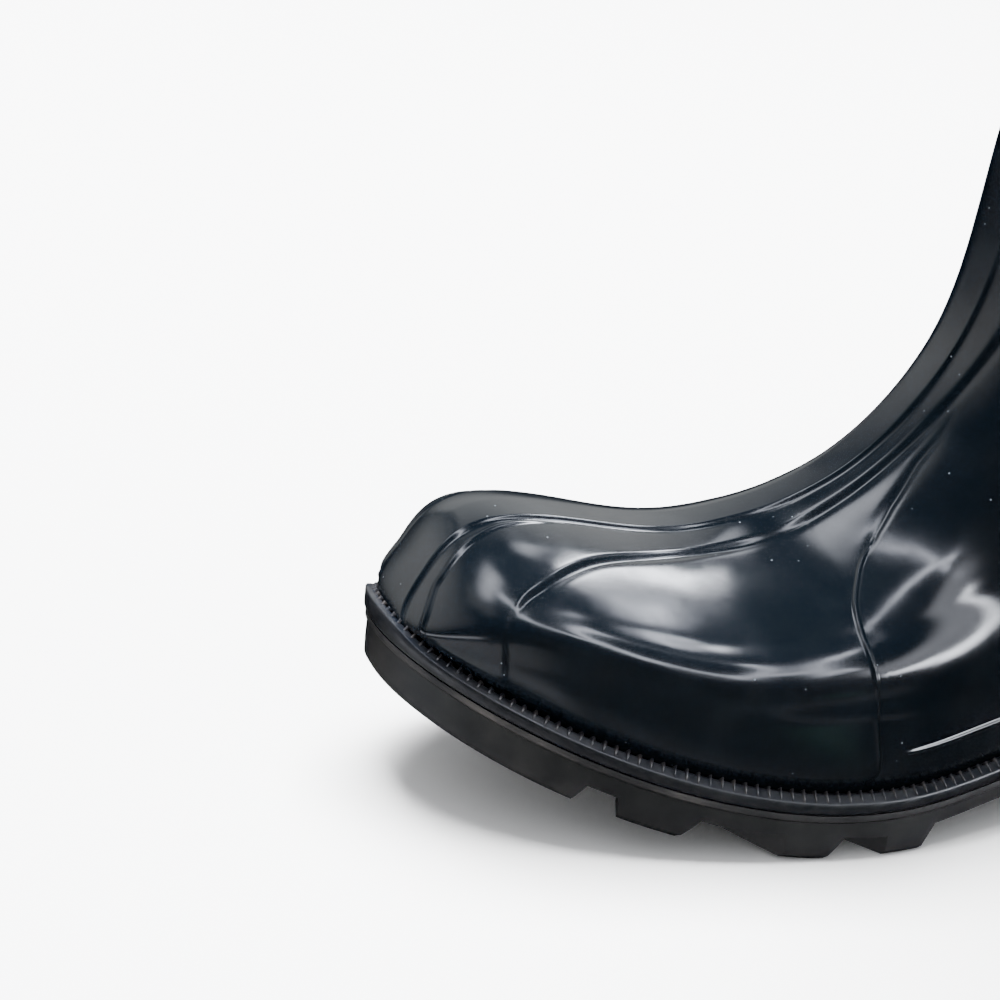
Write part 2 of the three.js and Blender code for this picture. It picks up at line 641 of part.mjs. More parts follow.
function upper() {
  const shell = upperShell(0, WELT_THICKNESS - GAP);
  return shell.add(ankleRib(OUTLINE.outer, 0)).add(ankleRib(OUTLINE.inner, 0)).add(rib(heelRibPath(), 0));
}

const glossyRubber = new THREE.MeshStandardMaterial({ color: 0x0a1018, roughness: 0.22, metalness: 0 });
const weltRubber = new THREE.MeshStandardMaterial({ color: 0x0d141d, roughness: 0.4, metalness: 0 });
const soleRubber = new THREE.MeshStandardMaterial({ color: 0x1d1e20, roughness: 0.75, metalness: 0 });
const insoleFelt = new THREE.MeshStandardMaterial({ color: 0x34373b, roughness: 0.95, metalness: 0 });

const boot = new THREE.Group();
boot.add(meshOf(outsole(), "outsole", soleRubber));
boot.add(meshOf(welt(), "welt", weltRubber));
boot.add(meshOf(upper(), "upper", glossyRubber));
boot.add(meshOf(insole(), "insole", insoleFelt));

export default boot;
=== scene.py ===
"""Looks of a moulded rubber mining boot: lacquered upper, knurled welt, lugged sole, lining and insole."""
import math
from collections import namedtuple

import bmesh
import bpy
import numpy as np
from mathutils import Matrix, Vector


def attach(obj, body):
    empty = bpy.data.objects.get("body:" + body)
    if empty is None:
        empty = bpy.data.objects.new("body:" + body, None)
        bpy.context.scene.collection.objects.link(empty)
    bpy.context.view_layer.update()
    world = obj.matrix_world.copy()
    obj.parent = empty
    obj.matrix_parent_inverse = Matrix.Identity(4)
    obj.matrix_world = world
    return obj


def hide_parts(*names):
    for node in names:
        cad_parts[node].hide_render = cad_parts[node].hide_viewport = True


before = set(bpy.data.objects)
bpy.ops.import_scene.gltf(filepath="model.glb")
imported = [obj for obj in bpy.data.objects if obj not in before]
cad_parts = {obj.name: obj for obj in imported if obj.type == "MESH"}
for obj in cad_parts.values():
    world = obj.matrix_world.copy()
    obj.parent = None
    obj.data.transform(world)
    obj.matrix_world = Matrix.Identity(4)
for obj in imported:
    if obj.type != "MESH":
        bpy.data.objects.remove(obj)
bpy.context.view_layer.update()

bl_info = {
    "name": "Mining boot",
    "version": (1, 0, 0),
    "blender": (4, 5, 0),
    "location": "View3D > Sidebar > Boot",
    "description": "Builds the upper, welt, sole, lining and insole of a moulded rubber mining boot",
    "category": "Object",
}

MM = 0.001

# Driving dimensions in millimetres, the same as the solids'
BOOT_LENGTH = 300
BALL_WIDTH = 110
HEEL_WIDTH = 73
BOOT_HEIGHT = 385
INSTEP_RISE = 96
SOLE_THICKNESS = 18.2
HEEL_HEIGHT = 30
TOE_SPRING = 30.2
WALL = 2.4
WELT_THICKNESS = 5.5
WELT_LEDGE = 5
GAP = 0.3
BAND_WIDTH = 19.6

# Half outlines of the welt. widest and waist are shares of the length, narrowing is a share of the ball width.
Outline = namedtuple("Outline", "sign widest power narrowing waist heel_shift")
OUTER = Outline(1, 0.377, 2.1, 0.16, 0.26, 1)
INNER = Outline(-1, 0.32, 2.3, 0.205, 0.267, -1)
TIP_SHIFT = 0.0755 * BALL_WIDTH  # the tip lies towards the big toe
HEEL_BLEND = 0.167 * BOOT_LENGTH
HEEL_ROUND = 0.187 * BOOT_LENGTH
HEEL_POWER = 2.4
SPRING_END = 0.367 * BOOT_LENGTH
SPRING_POWER = 1.7
HEEL_RISE_START = 0.393 * BOOT_LENGTH
HEEL_RISE_RUN = 0.44 * BOOT_LENGTH

# Sections of the upper from the toe over the instep, then up the shaft to the collar, as in the solids:
# front and back are shares of the length, widths are shares of the ball width, and rise goes from 0 to 1 at the
# instep and on to 2 at the collar.
COLUMNS = "front rise ridge back back_rise follow outer inner deep_out deep_in round_out round_in".split()
FOOT_SECTIONS = [
    [0.0167, 0.0, -0.036, 0.0207, 0, 1, 0.0, 0.0, 0.5, 0.5, 2.0, 2.0],
    [0.0218, 0.045, -0.081, 0.0367, 0, 1, 0.0055, 0.0055, 0.45, 0.45, 2.1, 2.1],
    [0.0398, 0.154, -0.108, 0.0633, 0, 1, 0.011, 0.011, 0.45, 0.39, 2.17, 1.8],
    [0.065, 0.275, -0.127, 0.1, 0, 1, 0.0145, 0.0175, 0.45, 0.31, 2.1, 1.7],
    [0.1087, 0.368, -0.14, 0.1433, 0, 1, 0.0165, 0.014, 0.46, 0.31, 2.11, 1.62],
    [0.1763, 0.417, -0.15, 0.2, 0, 1, 0.018, -0.008, 0.48, 0.4, 2.18, 1.55],
    [0.2537, 0.45, -0.153, 0.2733, 0, 1, 0.018, -0.03, 0.5, 0.5, 2.25, 1.5],
    [0.3293, 0.529, -0.143, 0.36, 0, 1, 0.018, -0.035, 0.5, 0.56, 2.27, 1.48],
    [0.3967, 0.648, -0.114, 0.4567, 0, 0.9, 0.0545, 0.0, 0.48, 0.53, 2.22, 1.5],
    [0.4507, 0.813, -0.093, 0.56, 0, 0.6, 0.1545, 0.102, 0.46, 0.5, 2.29, 1.52],
    [0.488, 1.0, -0.075, 0.6633, 0, 0.3, 0.259, 0.212, 0.45, 0.48, 2.35, 1.55],
    [0.507, 1.071, -0.053, 0.7667, 0, 0.1, 0.3365, 0.304, 0.45, 0.45, 2.31, 1.65],
    [0.5157, 1.144, -0.038, 0.86, 0, 0, 0.382, 0.359, 0.45, 0.44, 2.28, 1.75],
    [0.521, 1.214, -0.023, 0.94, 0, 0, 0.4, 0.384, 0.46, 0.45, 2.25, 1.8],
    [0.5303, 1.285, -0.011, 0.9833, 0, 0, 0.418, 0.405, 0.47, 0.47, 2.1, 1.9],
]
SHAFT_SECTIONS = [
    [0.5383, 1.369, -0.004, 0.9967, 0.127, 0, 0.436, 0.423, 0.49, 0.49, 2.0, 2.0],
    [0.5417, 1.515, 0.0, 0.97, 0.338, 0, 0.457, 0.448, 0.5, 0.5, 2.0, 2.0],
    [0.54, 1.739, 0.0, 0.9633, 0.634, 0, 0.48, 0.478, 0.5, 0.5, 2.0, 2.0],
    [0.5333, 2.0, 0.0, 0.9767, 0.963, 0, 0.515, 0.515, 0.5, 0.5, 2.0, 2.0],
]
SECTIONS = np.array(FOOT_SECTIONS + SHAFT_SECTIONS)
LAST_STATION = len(SECTIONS) - 1
CLOSING_STATION = len(FOOT_SECTIONS) - 1
SECTION_POINTS = 60
HEEL_FADE = 1.6


def smooth(value):
    """Soft step from 0 to 1."""
    t = np.clip(value, 0, 1)
    return t * t * (3 - 2 * t)


def between(value, start, end):
    """Soft step from 0 at the start to 1 at the end."""
    return smooth((value - start) / (end - start))


def ease_in(value):
    """Slow start over the first unit, then the value itself."""
    return np.where(value < 1, value * value * (2 - value), value)


def natural_spline(values):
    """Natural cubic curve through evenly spaced values."""
    values = np.asarray(values, float)
    n = len(values)
    matrix = np.eye(n)
    right = np.zeros(n)
    for i in range(1, n - 1):
        matrix[i, i - 1 : i + 2] = 1, 4, 1
        right[i] = 6 * (values[i + 1] - 2 * values[i] + values[i - 1])
    bend = np.linalg.solve(matrix, right)

    def curve(at):
        k = np.clip(np.floor(at).astype(int), 0, n - 2)
        t = at - k
        u = 1 - t
        straight = u * values[k] + t * values[k + 1]
        return straight + ((u**3 - u) * bend[k] + (t**3 - t) * bend[k + 1]) / 6

    return curve


SECTION_CURVES = {name: natural_spline(SECTIONS[:, i]) for i, name in enumerate(COLUMNS)}
BACK_RISE = natural_spline(SECTIONS[CLOSING_STATION:, COLUMNS.index("back_rise")])


def half_width(along, side, inset):
    """Half width of the foot at a distance from the tip, for a line that lies inset inside the welt's edge."""
    along = np.asarray(along, float)
    widest = side.widest * BOOT_LENGTH
    waist = side.waist * BOOT_LENGTH
    reach = BALL_WIDTH / 2 + side.sign * TIP_SHIFT - inset
    toe = np.clip((along - inset) / (widest - inset), 0, 1)
    past_ball = math.pi * np.clip((along - widest) / waist, 0, 1)
    narrowing = side.narrowing * BALL_WIDTH * (1 - np.cos(past_ball)) / 2
    toe_width = reach * (1 - (1 - toe) ** side.power) ** (1 / side.power)
    width = np.where(along < widest, toe_width, reach - narrowing)
    width = width - side.sign * TIP_SHIFT
    heel = HEEL_WIDTH / 2 + side.heel_shift - inset
    width = width + (heel - width) * smooth((along - widest - waist) / HEEL_BLEND)
    start = BOOT_LENGTH - HEEL_ROUND
    rounding = np.clip((along - start) / (HEEL_ROUND - inset), 0, 1)
    return width * (1 - rounding**HEEL_POWER) ** (1 / HEEL_POWER)


def welt_height(along):
    """Top of the welt over the floor."""
    ball = SOLE_THICKNESS - GAP
    spring = TOE_SPRING * np.clip(1 - along / SPRING_END, 0, 1) ** SPRING_POWER
    return ball + spring + (HEEL_HEIGHT - ball) * smooth((along - HEEL_RISE_START) / HEEL_RISE_RUN)


SHAFT_RISE = BOOT_HEIGHT - welt_height(SECTIONS[-1, 0] * BOOT_LENGTH) - INSTEP_RISE
RISES = SECTIONS[:, COLUMNS.index("rise")]
RIDGE_RISE = natural_spline(INSTEP_RISE * np.minimum(RISES, 1) + SHAFT_RISE * np.maximum(RISES - 1, 0))


def half_sections(stations, side):
    """One side of each station's section, from the ridge down to the welt or the back, with its arc lengths."""
    s = np.asarray(stations, float)[:, None]
    at = {name: curve(s) for name, curve in SECTION_CURVES.items()}
    outer = side.sign > 0
    front = at["front"] * BOOT_LENGTH
    back = at["back"] * BOOT_LENGTH
    front_z = welt_height(front) + RIDGE_RISE(s)
    climb = np.where(s > CLOSING_STATION, BACK_RISE(ease_in(np.maximum(s - CLOSING_STATION, 0))), 0)
    heel_end = BOOT_LENGTH - WELT_LEDGE
    back_z = welt_height(np.minimum(back, heel_end)) + climb * (BOOT_HEIGHT - HEEL_HEIGHT)
    foot = np.where(s >= CLOSING_STATION, 0, half_width(np.minimum(back, heel_end), side, WELT_LEDGE))
    width = at["follow"] * foot + at["outer" if outer else "inner"] * BALL_WIDTH
    depth = at["deep_out" if outer else "deep_in"]
    fullness = at["round_out" if outer else "round_in"]
    ridge = side.sign * at["ridge"] * BALL_WIDTH
    widest = front + (back - front) * depth
    bulge = width - half_width(np.minimum(widest, heel_end), side, WELT_LEDGE)
    foot_share = 1 - smooth((s - CLOSING_STATION) / HEEL_FADE)
    i = np.arange(2 * SECTION_POINTS + 1)[None]
    upper = i <= SECTION_POINTS
    angle = np.where(upper, i, i - SECTION_POINTS) / SECTION_POINTS * math.pi / 2
    sine = np.sin(angle)
    cosine = np.maximum(np.cos(angle), 0)
    down = np.where(upper, depth * (1 - cosine ** (2 / fullness)), depth + (1 - depth) * sine)
    along = np.minimum(widest + (back - widest) * sine * sine * (2 - sine), heel_end)
    foot_form = half_width(along, side, WELT_LEDGE) + bulge * cosine * cosine
    lower_x = foot_share * foot_form + (1 - foot_share) * width * cosine
    x = np.where(upper, ridge + (width - ridge) * sine ** (2 / fullness), lower_x)
    y = front + (back - front) * down - BOOT_LENGTH / 2
    z = front_z + (back_z - front_z) * down
    points = np.stack([side.sign * x, y, z], -1)
    steps = np.linalg.norm(np.diff(points, axis=1), axis=2)
    arcs = np.concatenate([np.zeros((len(s), 1)), np.cumsum(steps, 1)], 1)
    return points, arcs


def along_sections(points, arcs, wanted):
    """Points at the wanted arc lengths of each section."""
    rows = [[np.interp(w, a, p[:, k]) for k in range(3)] for p, a, w in zip(points, arcs, wanted)]
    return np.array(rows).transpose(0, 2, 1)


# Lines on the upper as station and share of the way from the band to the welt
CAP_EDGE = [
    (2.58, 1.0), (2.9, 0.685), (3.4, 0.523), (4.0, 0.41), (4.9, 0.248), (5.6, 0.178), (6.7, 0.12),
    (7.9, 0.085), (9.3, 0.072), (10.6, 0.08), (18.0, 0.09),
]
BESIDE_BAND = [
    (0.9, 0.74), (1.05, 0.608), (1.78, 0.288), (2.23, 0.192), (2.85, 0.128), (3.3, 0.096), (3.68, 0.067),
    (4.25, 0.04), (4.8, 0.03),
]
ANKLE_RIB = [
    (7.24, 0.985), (7.36, 0.965), (7.4, 0.93), (7.4, 0.85), (7.37, 0.7), (7.4, 0.55), (7.5, 0.44),
    (7.64, 0.367), (7.78, 0.312), (8.06, 0.247),
]
CREASE = [
    (7.78, 0.312), (8.06, 0.247), (8.34, 0.203), (8.7, 0.163), (8.88, 0.145), (9.26, 0.128), (9.82, 0.098),
]
HEEL_LINE_START = 7.55
HEEL_LINE_HEIGHT = 8.3
# Middle of the hollow beside the instep, with its half width, and the full shoulder below it
SADDLE_MIDDLE = [(5, 0.538), (6, 0.523), (7, 0.33), (8, 0.383), (8.8, 0.438)]
SADDLE_WIDTH = 0.36
SHOULDER = 0.676
SHOULDER_WIDTH = 0.134
# Stations between which the hollow and the shoulder grow and fade
SADDLE_GROWS = (1.25, 9.25)
SADDLE_FADES = (7.4, 10.9)
# Soft groove below the edge of cap and panel: its depth in millimetres and where it grows and fades
EDGE_GROOVE = 0.3
EDGE_GROOVE_GROWS = (3.2, 4)
EDGE_GROOVE_FADES = (10, 12)
CREASE_WIDTH = 1.4


def length(name, description, millimetres):
    """A length that the sidebar shows, given here in millimetres."""
    return bpy.props.FloatProperty(
        name=name, description=description, default=millimetres * MM, precision=5, unit="LENGTH",
    )


def linear(hex_code):
    """sRGB hex value as linear red, green and blue."""
    parts = [int(hex_code[i : i + 2], 16) / 255 for i in (0, 2, 4)]
    return tuple(c / 12.92 if c <= 0.04045 else ((c + 0.055) / 1.055) ** 2.4 for c in parts)


def colour(name, description, hex_code):
    """A colour that the sidebar shows, given here as sRGB hex."""
    default = (*linear(hex_code), 1)
    return bpy.props.FloatVectorProperty(
        name=name, description=description, default=default, size=4, subtype="COLOR", min=0, max=1,
    )


class BootUpperSizes(bpy.types.PropertyGroup):
    band_rise: length("Band rise", "How far the strip along the middle stands out", 0.9)
    step_run: length("Step run", "Width of the rounded slope at a raised edge", 1.9)
    cap_rise: length("Cap rise", "How far toe cap and instep panel stand out", 0.7)
    cap_run: length("Cap run", "Width of the soft slope below toe cap and panel", 3.0)
    ridge_rise: length("Ridge rise", "Height of the second ridge beside the band", 0.6)
    rib_rise: length("Rib rise", "Height of the ribs at ankle and heel", 0.65)
    rib_width: length("Rib width", "Half width of the ribs at ankle and heel", 0.6)
    crease_depth: length("Crease depth", "Depth of the crease above the ankle rib", 0.5)
    saddle_depth: length("Saddle depth", "Hollow between the side of the foot and the instep", 4.0)
    shoulder_rise: length("Shoulder rise", "Fullness of the side of the foot below the hollow", 2.8)
    rim_rise: length("Rim rise", "How far the thickened top of the shaft stands out", 1.1)
    rubber: colour("Rubber", "Colour of the lacquered rubber", "04080d")
    dust: colour("Dust", "Colour of the fine dust specks", "8f9aa6")


class BootSoleSizes(bpy.types.PropertyGroup):
    tooth_pitch: length("Tooth pitch", "Distance between the teeth of the welt", 3.1)
    tooth_width: length("Tooth width", "Width of a tooth at its foot", 1.5)
    tooth_height: length("Tooth height", "Height of a tooth over the welt", 1.0)
    tooth_length: length("Tooth length", "Length of a tooth down the welt's slope", 2.5)
    lug_round: length("Lug rounding", "Radius along the edges of the lugs", 0.9)
    welt_rubber: colour("Welt rubber", "Colour of the welt", "070b12")
    sole_rubber: colour("Sole rubber", "Colour of the outsole", "0a0b0e")
    dust: colour("Sole dust", "Colour of the dried dust on the sole", "3b352f")


class BootLiningSizes(bpy.types.PropertyGroup):
    knit: colour("Knit", "Colour of the knitted lining", "5b5f66")
    felt: colour("Felt", "Colour of the felt insole", "4a4d52")
    lining_gap: length("Lining gap", "Distance of the lining's back from the wall", 0.15)
    lining_thickness: length("Lining thickness", "Thickness of the knitted lining", 0.7)


def finish_piece(obj, slot, *nodes):
    """The piece rides on the boot and stands for the nodes."""
    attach(obj, "root")
    if nodes:
        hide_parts(*nodes)


def new_object(name, mesh):
    """An object in the scene with the mesh."""
    obj = bpy.data.objects.new(name, mesh)
    bpy.context.scene.collection.objects.link(obj)
    return obj


def mesh_from(name, points, faces):
    """A smooth mesh from points in millimetres."""
    mesh = bpy.data.meshes.new(name)
    mesh.from_pydata((np.asarray(points) * MM).tolist(), [], faces)
    mesh.validate()
    mesh.update()
    for polygon in mesh.polygons:
        polygon.use_smooth = True
    return mesh


def spaced(coordinate, density, count):
    """Values of a growing coordinate so that as many lie in each place as its density asks."""
    steps = np.diff(coordinate) * (density[1:] + density[:-1]) / 2
    total = np.concatenate([[0], np.cumsum(steps)])
    return np.interp(np.linspace(0, total[-1], count), total, coordinate)


def bump(distance, width):
    """Round hill, 1 at no distance."""
    return np.exp(-((distance / width) ** 2))


def upper_stations(rows):
    """Stations of the fine skin's rows, closer together at toe, heel and rim."""
    stations = np.linspace(0, LAST_STATION, 1441)
    pitch = np.zeros(len(stations))
    for side in (OUTER, INNER):
        points, arcs = half_sections(stations, side)
        sampled = along_sections(points, arcs, arcs[:, -1:] * np.array([0.05, 0.4, 0.8]))
        move = np.linalg.norm(np.gradient(sampled, stations, axis=0), axis=2)
        pitch = np.maximum(pitch, move.mean(1))
    fine = np.where(stations < 10.5, 1, 0.34)
    fine = fine + 0.5 * bump(stations, 0.6) + 0.8 * bump(stations - CLOSING_STATION - 0.2, 0.35)
    fine = fine + 1.5 * bump(stations - RIM_STATION, 0.03)
    inner = spaced(stations, pitch * fine, rows)
    return np.unique(np.concatenate([inner, [RIM_STATION, LAST_STATION]]))


RIM_RUN = (BOOT_HEIGHT - INSTEP_RISE) * (SECTIONS[-1, 1] - SECTIONS[-2, 1])
RIM_HEIGHT = 11
RIM_STATION = LAST_STATION - RIM_HEIGHT / RIM_RUN


def column_table(line, stations):
    """Share of a line at each station, outside its ends held at the last value."""
    keys, values = zip(*line)
    return np.interp(stations, keys, values)


def soft_table(line, stations):
    """Share of a line at each station, on a soft curve through its points and level past its ends."""
    keys = np.array([p[0] for p in line])
    values = np.array([p[1] for p in line])
    slopes = np.gradient(values, keys)
    at = np.clip(stations, keys[0], keys[-1])
    k = np.clip(np.searchsorted(keys, at) - 1, 0, len(keys) - 2)
    run = keys[k + 1] - keys[k]
    t = (at - keys[k]) / run
    ends = (1 + 2 * t) * (1 - t) ** 2 * values[k] + t * t * (3 - 2 * t) * values[k + 1]
    return ends + run * (t * (1 - t) ** 2 * slopes[k] - t * t * (1 - t) * slopes[k + 1])


def column_arcs(total, stations, count):
    """Arc lengths of one side's columns in each row, closer together at the raised edges."""
    band = np.minimum(BAND_WIDTH / 2, 0.9 * total)
    rest = total - band
    lines = [(band + 0.4, 0.7, 5)]
    lines.append((band + soft_table(CAP_EDGE, stations) * rest, 2.0, 1.5))
    at_crease = (stations > 7.5) & (stations < 10)
    lines.append((band + column_table(CREASE, stations) * rest, 1.8, 1.5 * at_crease))
    arc = np.linspace(0, 1, 1201)[None] * total[:, None]
    density = np.ones_like(arc)
    for centre, width, weight in lines:
        weights = np.broadcast_to(weight, stations.shape)[:, None]
        density += weights * bump(arc - np.asarray(centre)[:, None], width)
    return np.array([spaced(a, d, count) for a, d in zip(arc, density)])


def line_points(line, side, steps=40):
    """Points in space along a line on the skin."""
    keys = np.linspace(0, len(line) - 1, steps * (len(line) - 1) + 1)
    stations = np.interp(keys, range(len(line)), [p[0] for p in line])
    shares = np.interp(keys, range(len(line)), [p[1] for p in line])
    points, arcs = half_sections(stations, side)
    total = arcs[:, -1]
    band = np.minimum(BAND_WIDTH / 2, total)
    return along_sections(points, arcs, (band + shares * (total - band))[:, None])[:, 0], keys / (len(line) - 1)


def distance_to(points, line, along):
    """Distance of each point to a line, with how far along the line the nearest place is."""
    flat = points.reshape(-1, 3)
    best = np.full(len(flat), 1e9)
    place = np.zeros(len(flat))
    low, high = line.min(0) - 8, line.max(0) + 8
    near = np.flatnonzero(np.all((flat > low) & (flat < high), axis=1))
    for start in range(0, len(near), 4000):
        rows = near[start : start + 4000]
        gap = np.linalg.norm(flat[rows, None] - line[None], axis=2)
        best[rows] = gap.min(1)
        place[rows] = along[gap.argmin(1)]
    return best.reshape(points.shape[:-1]), place.reshape(points.shape[:-1])


def hollow(stations, share, sizes):
    """Depth of the hollow beside the instep, less the fullness of the shoulder below it."""
    s = stations[:, None]
    along = between(s, *SADDLE_GROWS) * (1 - between(s, *SADDLE_FADES))
    across = (share - soft_table(SADDLE_MIDDLE, stations)[:, None]) / SADDLE_WIDTH
    below = (share - SHOULDER) / SHOULDER_WIDTH
    sunk = sizes.saddle_depth / MM * np.maximum(0, 1 - across**2) ** 2
    return along * (sunk - sizes.shoulder_rise / MM * np.maximum(0, 1 - below**2) ** 2)


def relief(side, stations, arcs, points, sizes):
    """How far the skin stands out from the plain sections, in millimetres."""
    s = stations[:, None]
    total = arcs[:, -1:]
    band = np.minimum(BAND_WIDTH / 2, total)
    edge = soft_table(CAP_EDGE, stations)[:, None]
    cap_gap = arcs - band - edge * (total - band)
    out = sizes.band_rise / MM * (1 - smooth((arcs - band) / (sizes.step_run / MM)))
    cap_run = sizes.cap_run / MM
    out = out + sizes.cap_rise / MM * (1 - smooth(cap_gap / cap_run + 0.5))
    groove = EDGE_GROOVE * bump(cap_gap - cap_run / 2, cap_run / 2)
    out = out - groove * between(s, *EDGE_GROOVE_GROWS) * (1 - between(s, *EDGE_GROOVE_FADES))
    gap, place = distance_to(points, *line_points(CREASE, side))
    crease = sizes.crease_depth / MM * bump(gap, CREASE_WIDTH)
    out = out - crease * smooth(place / 0.15) * smooth((1 - place) / 0.3)
    return out + sizes.rim_rise / MM * smooth((s - RIM_STATION) / 0.02 + 0.5)


# Skin of the upper, row by row from the ridge down: stations, arc lengths of each side's columns, plain and fine
# points, and outward directions
Skin = namedtuple("Skin", "stations arcs plain fine normals")


def grid_normals(points, closed):
    """Outward directions of the grid, level at its foot and collar and without a step at the heel seam."""
    across = np.gradient(points, axis=1)
    seam = points[closed, 1] - points[closed, -2]
    across[closed, 0] = seam
    across[closed, -1] = seam
    normals = np.cross(across, np.gradient(points, axis=0))
    for edge in (0, -1):
        normals[~closed, edge, 2] = 0
        normals[closed, edge, 0] = 0
        normals[edge, :, 2] = 0
    normals /= np.maximum(np.linalg.norm(normals, axis=2, keepdims=True), 1e-9)
    middle = normals[len(normals) // 2, points.shape[1] // 2]
    return -normals if middle[1] > 0 else normals


def joined(inner, outer):
    """Columns of both sides in one row, from the inner side over the ridge to the outer side."""
    return np.concatenate([inner[:, ::-1], outer[:, 1:]], 1)


def upper_skin(rows, columns, sizes):
    """Fine and plain skin of both sides."""
    stations = upper_stations(rows)
    arcs = {}
    plain = {}
    out = {}
    sunk = {}
    for side in (INNER, OUTER):
        points, section_arcs = half_sections(stations, side)
        arcs[side] = column_arcs(section_arcs[:, -1], stations, columns[side])
        plain[side] = along_sections(points, section_arcs, arcs[side])
        out[side] = relief(side, stations, arcs[side], plain[side], sizes)
        total = arcs[side][:, -1:]
        band = np.minimum(BAND_WIDTH / 2, total)
        share = np.clip((arcs[side] - band) / np.maximum(total - band, 1e-6), 0, 1)
        sunk[side] = hollow(stations, share, sizes)
    closed = stations > CLOSING_STATION + 0.02
    grid = joined(plain[INNER], plain[OUTER])
    grid[closed, 0, 0] = 0
    grid[closed, -1] = grid[closed, 0]
    rise = joined(out[INNER], out[OUTER])
    rise[closed, -1] = rise[closed, 0]
    grid = grid - grid_normals(grid, closed) * joined(sunk[INNER], sunk[OUTER])[..., None]
    normals = grid_normals(grid, closed)
    fine = grid + normals * rise[..., None]
    return Skin(stations, arcs, grid, fine, normals)


def one_side(skin, grid, side):
    """The side's columns of a grid, from the ridge down."""
    inner_count = skin.arcs[INNER].shape[1]
    return grid[:, inner_count - 1 :] if side is OUTER else grid[:, inner_count - 1 :: -1]


def on_skin(skin, side, stations, shares):
    """Points of the fine skin and outward directions at stations and shares of the way to the welt."""
    arcs = skin.arcs[side]
    fine = one_side(skin, skin.fine, side)
    normals = one_side(skin, skin.normals, side)
    at = np.interp(stations, skin.stations, np.arange(len(skin.stations)))
    low = np.minimum(at.astype(int), len(skin.stations) - 2)
    found = []
    for source in (fine, normals):
        rows = []
        for i, t, share in zip(low, at - low, shares):
            pair = []
            for row in (i, i + 1):
                band = min(BAND_WIDTH / 2, arcs[row, -1])
                arc = band + share * (arcs[row, -1] - band)
                pair.append([np.interp(arc, arcs[row], source[row, :, k]) for k in range(3)])
            rows.append((1 - t) * np.array(pair[0]) + t * np.array(pair[1]))
        found.append(np.array(rows))
    points, directions = found
    return points, directions / np.linalg.norm(directions, axis=1, keepdims=True)


def along_line(skin, side, line, pitch):
    """Points and outward directions about a pitch apart along a line of stations and shares."""
    knots = np.arange(len(line))
    keys = np.linspace(0, knots[-1], 12 * len(line))
    stations = natural_spline([p[0] for p in line])(keys)
    shares = natural_spline([p[1] for p in line])(keys)
    points, _ = on_skin(skin, side, stations, shares)
    run = np.concatenate([[0], np.cumsum(np.linalg.norm(np.diff(points, axis=0), axis=1))])
    even = np.linspace(0, run[-1], max(int(run[-1] / pitch), 2) + 1)
    return on_skin(skin, side, np.interp(even, run, stations), np.interp(even, run, shares))


def heel_line(skin, side, height, start):
    """Points and outward directions of the line that keeps a height over the welt up to the back of the heel."""
    fine = one_side(skin, skin.fine, side)
    normals = one_side(skin, skin.normals, side)
    over = fine[..., 2] - welt_height(np.clip(fine[..., 1] + BOOT_LENGTH / 2, 0, BOOT_LENGTH)) - height
    points = []
    directions = []
    for i in np.flatnonzero(skin.stations >= start):
        crossing = np.flatnonzero((over[i, :-1] > 0) & (over[i, 1:] <= 0))
        if not len(crossing):
            if skin.stations[i] > CLOSING_STATION:
                break
            continue
        k = crossing[-1]
        t = over[i, k] / (over[i, k] - over[i, k + 1])
        points.append(fine[i, k] * (1 - t) + fine[i, k + 1] * t)
        directions.append(normals[i, k] * (1 - t) + normals[i, k + 1] * t)
    back = points[-1] * np.array([0, 1, 1])
    directions.append(directions[-1] * np.array([0, 1, 0]))
    points.append(back)
    points, directions = np.array(points), np.array(directions)
    run = np.concatenate([[0], np.cumsum(np.linalg.norm(np.diff(points, axis=0), axis=1))])
    even = np.linspace(0, run[-1], int(run[-1] / 0.8))
    points = np.stack([np.interp(even, run, points[:, k]) for k in range(3)], 1)
    directions = np.stack([np.interp(even, run, directions[:, k]) for k in range(3)], 1)
    return points, directions / np.linalg.norm(directions, axis=1, keepdims=True)


LINE_OFFSETS = np.array([-2.3, -1.6, -1.1, -0.7, -0.35, 0, 0.35, 0.7, 1.1, 1.6, 2.3])
LINE_EDGE_SUNK = 0.07
LINE_BASE_SUNK = 0.6


def moulded_line(points, directions, width, height, fade_in=0.0, fade_out=0.0, start=0):
    """Closed body of a soft ridge on the skin: its points, and faces that count from start."""
    count = len(points)
    run = np.linspace(0, 1, count)
    strength = height * np.ones(count)
    if fade_in:
        strength *= smooth(run / fade_in)
    if fade_out:
        strength *= smooth((1 - run) / fade_out)
    tangent = np.gradient(points, axis=0)
    across = np.cross(directions, tangent)
    across /= np.linalg.norm(across, axis=1, keepdims=True)
    edge = LINE_OFFSETS[-1]
    layers = []
    for offset in LINE_OFFSETS:
        lift = strength * bump(offset, 1) - LINE_EDGE_SUNK * (offset / edge) ** 2
        layers.append(points + across * (offset * width) + directions * lift[:, None])
    for offset in (edge, -edge):
        layers.append(points + across * (offset * width) - directions * LINE_BASE_SUNK)
    size = len(layers)
    body = np.stack(layers, 1).reshape(-1, 3)
    faces = []
    for i in range(count - 1):
        for j in range(size):
            k = (j + 1) % size
            low, high = start + i * size, start + (i + 1) * size
            faces.append((low + j, low + k, high + k, high + j))
    faces.append(tuple(start + j for j in range(size))[::-1])
    faces.append(tuple(start + (count - 1) * size + j for j in range(size)))
    return body, faces


LINE_PITCH = 0.6


